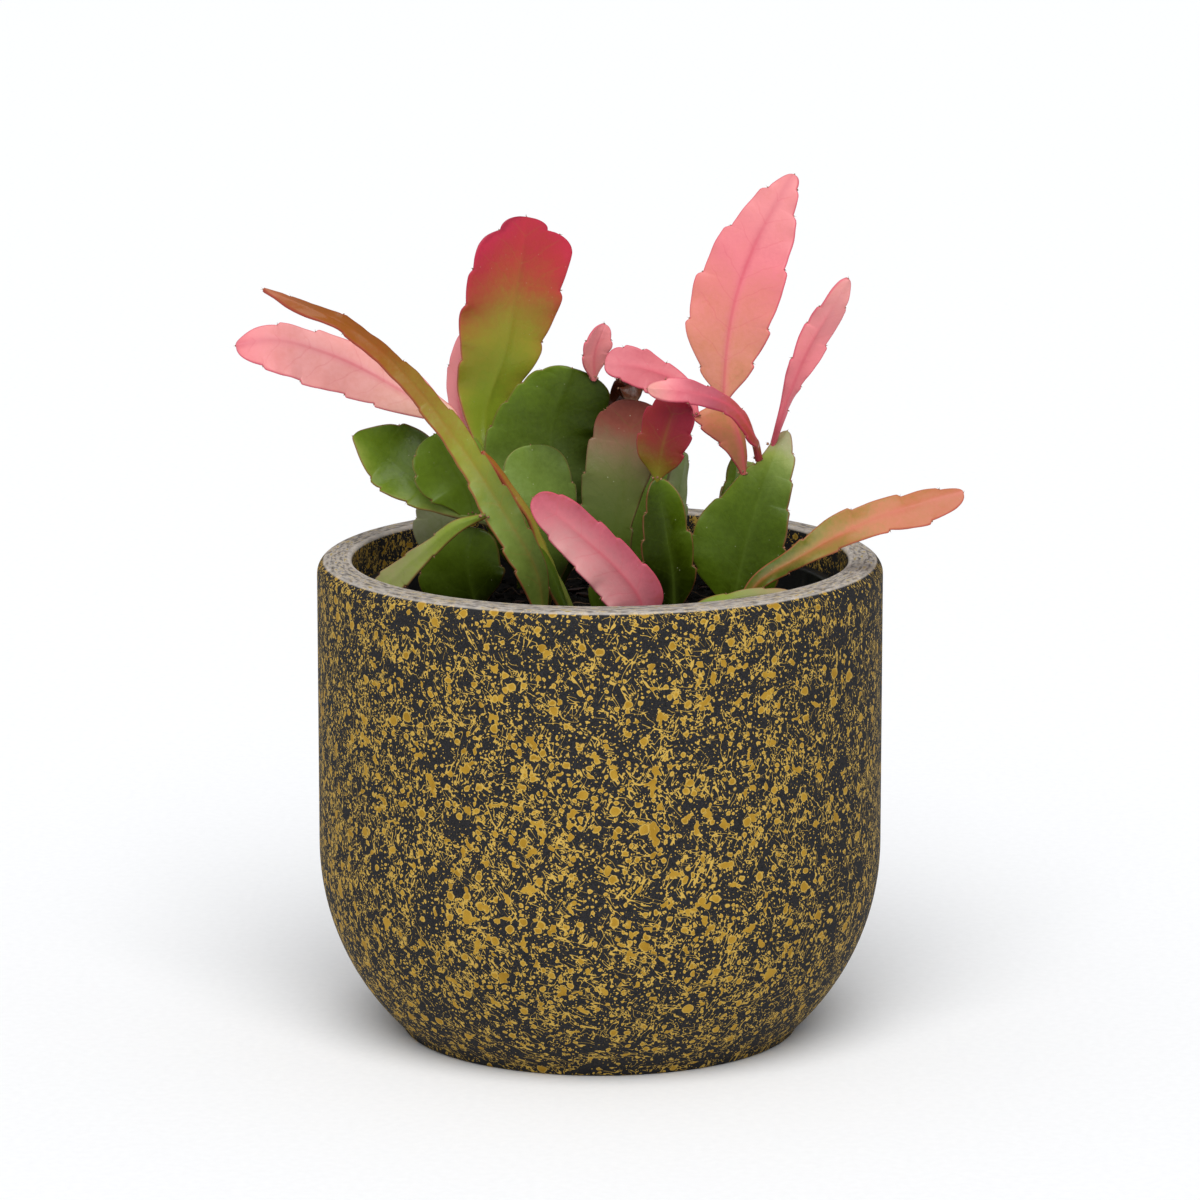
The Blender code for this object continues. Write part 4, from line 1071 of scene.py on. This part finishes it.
YOUNG_SEGMENTS = {
    # spoon_left: its bloom paints the stalk at its foot pale, as painted light on a shaded part.
    "spoon_left": Segment(
        seat=((-21.9, -1.2, 116.6), (-0.93, -0.36, 0.1)),
        points=[(-26.3, -5.0, 120.2), (-32.0, -6.0, 121.9), (-39.0, -1.5, 125.1),
                (-47.3, 4.5, 131.6), (-56.9, 4.0, 138.6)],
        left=(0.7, 0.9, 1.2, 4.0, 7.2, 6.2, 1.7), right=(0.7, 1.0, 1.8, 7.5, 10.5, 9.0, 3.5),
        look=(turned_by(0, 0.3), turned_by(15, 0.4)), stages=(0.62, 0.55, 0.42, 0.34, 0.50),
        notches=((0.55, 0.70, 0.81), (0.62, 0.84)), cup=0.20, tilt=-0.16,
        bloom_and_shading=(0.6, 0.15, 0.0, 0.0, 0.0)),
    # left_back: its bloom paints it paler, as painted light on a shaded segment.
    "left_back": Segment(
        points=[(-34.5, 18.0), (-36.0, 18.0, 110.5), (-37.0, 18.5, 121.0)],
        left=(1.2, 6.2, 8.4, 6.8), right=(1.2, 5.0, 6.8, 5.6), look=(turned_by(-28),),
        stages=(0.56, 0.6), notches=((0.5, 0.8), (0.65,)), tilt=-0.05,
        bloom_and_shading=(0.5, 0.55)),
    "pale_low": Segment(
        seat=((-26.2, -21.2, 124.6), (-0.64, -0.61, -0.47)),
        points=[(-31.7, -21.2, 122.6), (-41.1, -20.5, 114.7), (-50.5, -20.0, 106.3)],
        left=(0.7, 1.7, 2.2, 3.2, 4.2), look=(turned_by(-10, 0.3), turned_by(-25, 0.5)),
        stages=(0.48, 0.64, 0.74), notches=((0.5, 0.8), (0.4, 0.66, 0.9)), bite=0.7, tilt=0.05,
        bloom_and_shading=(-0.08,)),
    "narrow_edge": Segment(
        points=[(-7.5, -15.0), (-10.0, -14.5, 106.0), (-13.0, -14.0, 112.5),
                (-18.5, -13.0, 120.0)],
        left=(1.2, 2.4, 2.8, 1.4), look=((0.7, -0.6, 0.1), (0.8, -0.5, 0.4)),
        stages=(0.15, 0.28, 0.35), notches=((0.6,), (0.8,))),
    "folded_green": Segment(
        points=[(17.0, -9.0), (16.5, -9.0, 110.0), (15.0, -9.0, 119.0), (13.0, -8.5, 131.0)],
        left=(1.2, 7.0, 7.5, 6.5, 4.5, 2.5), right=(1.2, 4.5, 5.5, 5.5, 5.0, 3.0),
        look=(turned_by(6),), stages=(-0.12, 0.0, 0.14, 0.2, 0.28),
        notches=((0.4, 0.6, 0.78), (0.35, 0.60)), fold=0.55, flush=0.05, tilt=0.10, cup=0.0),
    # right_green: its bloom with bloom_and_shading_side paints a pale greyish band on the upper
    # right, a painted sheen.
    "right_green": Segment(
        points=[(30.5, -6.0), (32.0, -6.0, 107.0), (34.0, -5.0, 116.0), (38.0, -3.0, 129.5),
                (43.0, 0.0, 140.5)],
        left=(1.2, 9.3, 13.0, 12.6, 9.3, 5.8, 3.0, 2.0),
        right=(1.2, 8.2, 9.6, 9.6, 8.2, 6.9, 5.0, 2.2), look=(turned_by(-17),),
        stages=(0.14, 0.21, 0.26, 0.38, 0.8),
        notches=((0.18, 0.35, 0.56, 0.77), (0.4, 0.6, 0.76, 0.9)), cup=0.12, tilt=-0.06,
        bloom_and_shading=(0.0, 0.0, 0.0, 0.04, 0.22), bloom_and_shading_side=0.8, flush=0.08),
    "low_front": Segment(
        points=[(17.5, -37.0), (23.0, -36.5, 106.3), (30.0, -36.5, 108.6), (42.9, -33.0, 109.2)],
        left=(1.2, 1.8, 1.9, 1.9, 1.3), look=(turned_by(5, 0.2), turned_by(0, 0.8)),
        stages=(0.4, 0.5, 0.7, 0.9),
        notches=((0.5, 0.8), (0.4, 0.65, 0.88)), cup=0.15),
    "back_corner_low": Segment(
        points=[(31.0, 28.0), (32.0, 29.0, 109.0), (34.0, 31.0, 118.0), (36.0, 34.0, 127.0)],
        left=(1.2, 6.5, 8.0, 5.0), look=(turned_by(42),),
        stages=(0.3, 0.5, 0.65), notches=((0.45, 0.75), (0.58, 0.88)), cup=-0.10),
}
for name, segment in YOUNG_SEGMENTS.items():
    grow(name, leaf_green_skin, segment)


# Bronzed segments. Long narrow shoots that lean out into the light: green at the foot, then
# olive and orange brown, with red tips and thin red margins.

bronzed_skin = make_skin(
    "bronzed_skin",
    ((0.0, "586828"), (0.18, "728438"), (0.34, "86882E"), (0.48, "8C6C28"), (0.62, "90521A"),
     (0.76, "9C5834"), (0.88, "AC684C"), (1.0, "B07050")),
    pale="D8C0A0",
    rib="A04A30", rib_share=0.12, rim="9A3034", rim_share=0.6, vein_share=0.08, specks=0.2,
    shine=0.14)

BRONZED_SEGMENTS = {
    # long_arching: its negative bloom with bloom_and_shading_side darkens the right side low down,
    # as painted shade where it folds away from the light.
    "long_arching": Segment(
        points=[(-13.0, -22.0), (-14.5, -22.0, 111.0), (-22.0, -19.0, 124.5),
                (-34.0, -14.0, 142.0), (-54.0, -10.0, 163.5), (-76.5, -8.0, 174.6)],
        left=(1.2, 5.0, 5.0, 3.6, 2.8, 2.6, 2.6, 2.3, 1.4),
        right=(1.2, 3.4, 4.4, 4.2, 4.3, 3.6, 2.9, 2.4, 1.4),
        look=((0.45, -0.9, 0.1), (0.62, -0.6, 0.5)),
        stages=(-0.02, 0.04, 0.18, 0.29, 0.40, 0.52, 0.62, 0.68, 0.80),
        notches=((0.14, 0.20, 0.36, 0.56, 0.8), (0.08, 0.21, 0.32, 0.40, 0.52, 0.66, 0.82, 0.94)),
        bloom_and_shading=(0.0, -0.15, -0.2, -0.05, -0.05, -0.1, -0.1, 0.0), bloom_and_shading_side=1.0),
    "olive_edge": Segment(
        points=[(-6.5, -7.0), (-12.0, -8.5, 112.0), (-16.5, -8.5, 122.5), (-27.0, -7.0, 137.0)],
        left=(1.2, 1.6, 1.5, 1.3, 1.0), look=((0.7, -0.6, 0.1), (0.8, -0.45, 0.5)),
        stages=(0.1, 0.3, 0.45, 0.6), notches=((0.4, 0.7), (0.5, 0.85))),
}
for name, segment in BRONZED_SEGMENTS.items():
    grow(name, bronzed_skin, segment)


# Crimson segments. Flushed by strong light: green low down, olive in the middle and deep
# crimson towards the tip, soonest along the margins.

crimson_skin = make_skin(
    "crimson_flushed_skin",
    ((0.0, "68781A"), (0.20, "778422"), (0.36, "8C842A"), (0.50, "966C2C"), (0.62, "A24C30"),
     (0.75, "AE3638"), (0.88, "B62E44"), (1.0, "98263A")),
    pale="E0A8A0",
    rib="7A7A24", rib_share=0.2, rim="A82C48", rim_share=0.6, vein_share=0.08, specks=0.2,
    shine=0.16)

CRIMSON_SEGMENTS = {
    "crimson_tall": Segment(
        seat=((-26.4, 9.7, 131.2), (-0.95, -0.32, -0.06)),
        points=[(-26.9, 16.2, 141.0), (-22.0, 18.8, 157.0), (-19.6, 20.0, 171.0),
                (-17.0, 22.0, 187.0)],
        left=(0.8, 4.2, 8.2, 11.6, 13.0, 12.9, 11.7, 4.8),
        right=(0.8, 2.2, 4.8, 7.5, 10.3, 11.6, 12.4, 13.0), look=(turned_by(24),),
        stages=(0.04, 0.1, 0.17, 0.25, 0.38, 0.56, 0.72, 0.82), flush=0.16,
        notches=((0.39, 0.637, 0.77, 0.932), (0.53, 0.737, 0.952)), bite=1.0, rounding=2.4,
        cup=0.06, blunt=0.07, crown=0.0, tilt=-0.05, apex=((0.932, 6.3, 2.2), (0.96, 5.7, 5.0))),
    # crimson_small: its negative bloom darkens it all over as painted shade.
    "crimson_small": Segment(
        seat=((13.0, -8.5, 131.0), (-0.16, 0.04, 0.99)),
        points=[(14.5, -10.0, 139.0), (18.0, -10.5, 150.0)],
        left=(0.7, 5.0, 6.5, 6.5, 4.6), right=(0.7, 4.4, 6.0, 6.0, 4.6),
        look=(turned_by(0), turned_by(-26)), stages=(0.32, 0.6, 0.80, 0.86), tilt=0.06,
        notches=((0.5, 0.8), (0.40, 0.66, 0.88)), cup=0.15, bloom_and_shading=(-0.2, -0.42, -0.45, -0.38)),
}
for name, segment in CRIMSON_SEGMENTS.items():
    grow(name, crimson_skin, segment)


# New pink growth. Soft thin segments of the season, yellowish at the foot and pink to the tip,
# with a darker pink rib and margins.

pink_skin = make_skin(
    "new_pink_skin",
    ((0.0, "6A6820"), (0.12, "A47C42"), (0.25, "CA7A5A"), (0.40, "D67C74"), (0.55, "DC7A80"),
     (0.70, "CE6874"), (0.85, "B45866"), (1.0, "A0402A")),
    pale="F4D0C4",
    rib="C6485A", rib_share=0.45, rim="CC4460", rim_share=0.6, vein_share=0.15, specks=0.15,
    shine=0.15)

PINK_SEGMENTS = {
    "pink_sliver": Segment(
        seat=((-20.7, 11.1, 120.1), (-0.67, -0.16, -0.73)),
        points=[(-29.5, 18.5, 133.0), (-32.8, 23.0, 147.0), (-31.0, 25.5, 160.0)],
        left=(0.7, 2.6, 3.6, 2.6), look=(turned_by(-30),),
        stages=(0.4, 0.55, 0.6), notches=((0.5, 0.81), (0.65, 0.9)), bloom_and_shading=(0.15,)),
    "pink_left": Segment(
        seat=((-33.8, -2.0, 141.4), (-0.08, 0.36, 0.93)),
        points=[(-34.0, 1.5, 143.0), (-40.0, 5.0, 145.4), (-47.0, 7.3, 149.2), (-62.5, 6.8, 157.0),
                (-76.8, 3.3, 160.8), (-83.5, 2.0, 160.0)],
        left=(0.7, 2.6, 6.0, 8.0, 9.2, 8.4, 5.2),
        right=(0.7, 2.6, 5.0, 6.3, 6.4, 5.4, 4.8, 4.3, 2.6),
        look=(turned_by(0, 0.3), turned_by(12, 0.65)),
        stages=(0.08, 0.2, 0.36, 0.46, 0.5, 0.52, 0.55),
        notches=((0.38, 0.51, 0.72, 0.91), (0.40, 0.57, 0.70, 0.84)),
        bloom_and_shading=(0.4, 0.38, 0.3, 0.28, 0.02), stripe=0.12),
    # pink_bud: its bloom paints it a little paler, as painted light on a shaded segment.
    "pink_bud": Segment(
        seat=((-1.4, 14.4, 150.5), (0.53, 0.12, 0.84)),
        points=[(-1.6, 13.0, 155.8), (1.0, 12.5, 163.4)],
        left=(0.7, 2.8, 3.4, 2.0), right=(0.7, 3.0, 3.6, 1.8), look=(turned_by(20),),
        stages=(0.4, 0.5, 0.55), notches=((0.45, 0.66), (0.55, 0.8)), bite=0.7, fold=0.35,
        bloom_and_shading=(0.1,), cup=0.0),
    "salmon_short": Segment(
        seat=((32.7, -1.6, 131.0), (-0.86, 0.28, 0.42)),
        points=[(32.2, -0.7, 137.4), (31.0, -0.4, 141.3), (28.6, 0.6, 147.6)],
        left=(0.7, 2.9, 5.3, 7.9, 9.2), right=(0.7, 1.2, 1.6, 1.8, 2.2), look=(turned_by(14),),
        stages=(0.12, 0.16, 0.2), notches=((0.5, 0.8), (0.65,)), bite=0.7, blunt=0.10,
        tilt=-0.08, bloom_and_shading=(-0.35, -0.3, -0.1, -0.05), stripe=0.12),
    "pink_behind": Segment(
        seat=((22.0, -2.2, 144.6), (-0.63, 0.22, 0.74)),
        points=[(18.6, 1.2, 150.8), (10.2, 1.6, 154.5), (1.0, 1.0, 155.9)],
        left=(0.7, 2.4, 4.6, 5.2, 5.2, 4.0, 3.2), right=(0.7, 1.8, 2.4, 3.4, 4.6, 4.9, 4.0),
        look=(turned_by(0, 0.3), turned_by(-15, 0.6)), stages=(0.6, 0.6, 0.62),
        notches=((0.4, 0.62, 0.86), (0.5, 0.70, 0.85)), bite=0.7, cup=0.15,
        bloom_and_shading=(-0.08, -0.08, -0.14)),
    "pink_tall": Segment(
        seat=((28.6, 0.6, 147.6), (-0.35, 0.15, 0.92)),
        points=[(29.0, 2.0, 154.5), (31.0, 4.0, 169.0), (35.6, 7.0, 182.0), (44.6, 10.0, 198.4)],
        left=(0.7, 6.0, 9.4, 11.1, 11.1, 10.3, 9.0, 7.1, 5.2, 3.0),
        right=(0.7, 5.6, 8.6, 10.5, 11.0, 10.7, 9.4, 7.6, 4.9, 2.8), look=(turned_by(-23),),
        stages=(0.22, 0.27, 0.36, 0.46, 0.56, 0.54, 0.52),
        notches=((0.14, 0.32, 0.50, 0.70, 0.90), (0.17, 0.33, 0.61, 0.85, 0.95)), bite=1.1,
        rounding=1.2, bloom_and_shading=(0.12, 0.1, 0.02, 0.0, 0.1, 0.12), stripe=0.10),
    "pink_front": Segment(
        seat=((36.3, -1.1, 134.3), (-0.56, 0.37, 0.74)),
        points=[(35.7, -5.0, 138.0), (34.9, -10.5, 140.5), (29.9, -13.8, 148.0),
                (21.4, -15.2, 151.7), (10.7, -16.5, 153.1)],
        left=(0.7, 1.3, 1.6, 1.9, 2.5, 3.0, 2.2), right=(0.7, 1.3, 1.6, 2.0, 2.7, 3.2, 2.4),
        look=((0.9, -0.5, 0.3), turned_by(-6, 0.5)), stages=(1.0, 1.0, 1.0, 0.86, 0.72, 0.42),
        notches=((0.35, 0.55, 0.77), (0.47, 0.68, 0.90)), bite=0.7, cup=0.15,
        bloom_and_shading=(-0.1, -0.1, -0.05, -0.12, 0.3)),
    "pink_slender": Segment(
        seat=((39.4, -0.4, 137.5), (-0.88, 0.31, 0.37)),
        points=[(41.2, -4.0, 143.5), (43.6, -6.2, 151.5), (46.9, -8.0, 160.2),
                (56.2, -12.0, 177.6)],
        left=(0.7, 0.9, 1.3, 2.5, 3.2, 3.2, 2.9, 2.4),
        right=(0.7, 0.9, 1.5, 2.7, 3.9, 4.3, 3.3, 1.8),
        look=(turned_by(0, 0.2), turned_by(28, 0.1)), stages=(0.7, 0.62, 0.56, 0.54, 0.5),
        notches=((0.51, 0.70, 0.81), (0.23, 0.38, 0.63, 0.86)), cup=0.12,
        bloom_and_shading=(0.0, 0.0, 0.0, 0.12, 0.25)),
    # rose_front: its bloom with bloom_and_shading_side paints the middle and left paler, partly
    # its paler greenish margin and partly a painted sheen.
    "rose_front": Segment(
        points=[(10.0, -28.5), (8.7, -30.5, 107.4), (3.6, -31.8, 114.6), (-2.3, -33.0, 120.3),
                (-9.9, -34.0, 127.3), (-15.0, -34.5, 131.4)],
        left=(1.2, 6.0, 7.4, 7.0, 6.2, 5.2, 3.8), right=(1.2, 5.6, 5.8, 5.7, 5.6, 5.0, 3.6),
        look=(turned_by(14, 0.1), turned_by(-8, 0.6)), stages=(0.85, 0.82, 0.8, 0.8, 0.82, 0.84),
        tilt=0.05, notches=((0.35, 0.59, 0.81), (0.33, 0.51, 0.65, 0.9)), cup=0.12, bite=0.5,
        bloom_and_shading=(0.1, 0.12, 0.17, 0.15, 0.0), bloom_and_shading_side=-1.3),
}
for name, segment in PINK_SEGMENTS.items():
    grow(name, pink_skin, segment)


# Reaching segment. A longer new one at the right, still olive at its foot, with an orange rib
# and a salmon end.

salmon_skin = make_skin(
    "salmon_shoot_skin",
    ((0.0, "566414"), (0.12, "94803A"), (0.25, "C27A52"), (0.40, "D67C68"), (1.0, "D87C78")),
    pale="F4D0C4",
    rib="B2583A", rib_share=0.4, rim="B84848", rim_share=0.5, vein_share=0.08, specks=0.15,
    shine=0.14)
grow("right_reaching", salmon_skin, Segment(
    points=[(31.5, -26.5), (34.5, -26.0, 108.6), (45.5, -23.5, 115.7), (61.5, -20.0, 123.2),
            (82.5, -17.5, 129.4)],
    left=(1.2, 1.9, 2.8, 4.9, 4.4, 3.9, 2.3), right=(1.2, 1.7, 2.4, 3.1, 4.1, 5.5, 4.0),
    look=(turned_by(5, 0.2), turned_by(-12, 0.65)),
    stages=(-0.1, -0.06, 0.04, 0.14, 0.24, 0.28, 0.3), stripe=0.07, tilt=0.02,
    notches=((0.4, 0.6, 0.78, 0.92), (0.3, 0.5, 0.7, 0.86)), cup=0.15,
    bloom_and_shading=(-0.25, -0.25, -0.2, -0.12, -0.16, -0.2)))


# Withered tip. A young segment that has dried up at the top of the large green one: brown,
# curled and papery, with a paler end.

withered_skin = make_skin(
    "withered_skin",
    ((0.0, "2A1006"), (0.45, "4A200C"), (0.75, "6A3A1A"), (1.0, "D6C8A8")),
    pale="D6C8A8",
    rib="2A120A", rib_share=0.5, rim="2A120A", rim_share=0.5, vein_share=0.4, specks=0.1,
    shine=0.3)
grow("withered_tip", withered_skin, Segment(
    seat=((2.6, 14.5, 143.3), (1.0, -0.01, -0.06)),
    points=[(7.0, 11.5, 149.0), (7.5, 8.0, 145.5)],
    left=(0.7, 2.6, 3.2, 1.6), look=(turned_by(0),),
    stages=(0.1, 0.25, 0.85), notches=((0.5,), (0.7,)), bite=0.5, cup=0.9, ruffle=2.0))


# Studio. A white paper sweep under the planter, an even pale room and one wide soft light from
# above and in front, as in a product photograph.

CAMERA_ELEVATION = math.radians(11.6)
CAMERA_DISTANCE = 1.4
CAMERA_AIM_Z = 0.1009
CAMERA_LENS = 181.95
FLOOR_HALF = 6.0
ROOM_LIGHT = 0.45
SUN_STRENGTH = 2.75
SUN_HEIGHT = math.radians(52)
SUN_SPREAD = math.radians(50)


def make_floor():
    """A wide sheet of matt white paper, very faintly uneven in tone."""
    material, add, shader, place = new_material("white_paper")
    fibre = add("TexNoise", {"Vector": place, "Scale": 1 / 2.0, "Detail": 2.0})
    set_inputs(shader, {
        "Base Color": add("ValToRGB", (fibre,), ((0.3, "F4F4F4"), (0.7, "F7F7F7"))),
        "Roughness": 0.9})
    model = bmesh.new()
    corners = [model.verts.new((x * FLOOR_HALF, y * FLOOR_HALF, 0.0))
               for x, y in ((-1, -1), (1, -1), (1, 1), (-1, 1))]
    model.faces.new(corners)
    return make_piece("floor", model, material)


make_floor()

world = bpy.data.worlds.new("white_room")
bpy.context.scene.world = world
world.use_nodes = True
world.node_tree.nodes["Background"].inputs["Color"].default_value = paint("F7FAFF")
world.node_tree.nodes["Background"].inputs["Strength"].default_value = ROOM_LIGHT

softbox = bpy.data.lights.new("softbox", "SUN")
softbox.energy = SUN_STRENGTH
softbox.angle = SUN_SPREAD
softbox_object = bpy.data.objects.new("softbox", softbox)
softbox_object.rotation_euler = (math.pi / 2 - SUN_HEIGHT, 0.0, 0.0)
softbox_object.location = (0.0, -0.6, 0.9)
bpy.context.scene.collection.objects.link(softbox_object)

camera = bpy.data.cameras.new("camera")
camera.lens = CAMERA_LENS
camera.sensor_width = 36.0
camera.clip_start = 0.05
camera_object = bpy.data.objects.new("camera", camera)
camera_object.location = (0.0, -CAMERA_DISTANCE * math.cos(CAMERA_ELEVATION),
                          CAMERA_AIM_Z + CAMERA_DISTANCE * math.sin(CAMERA_ELEVATION))
camera_object.rotation_euler = (math.pi / 2 - CAMERA_ELEVATION, 0.0, 0.0)
bpy.context.scene.collection.objects.link(camera_object)
bpy.context.scene.camera = camera_object
bpy.context.scene.view_settings.view_transform = "Standard"
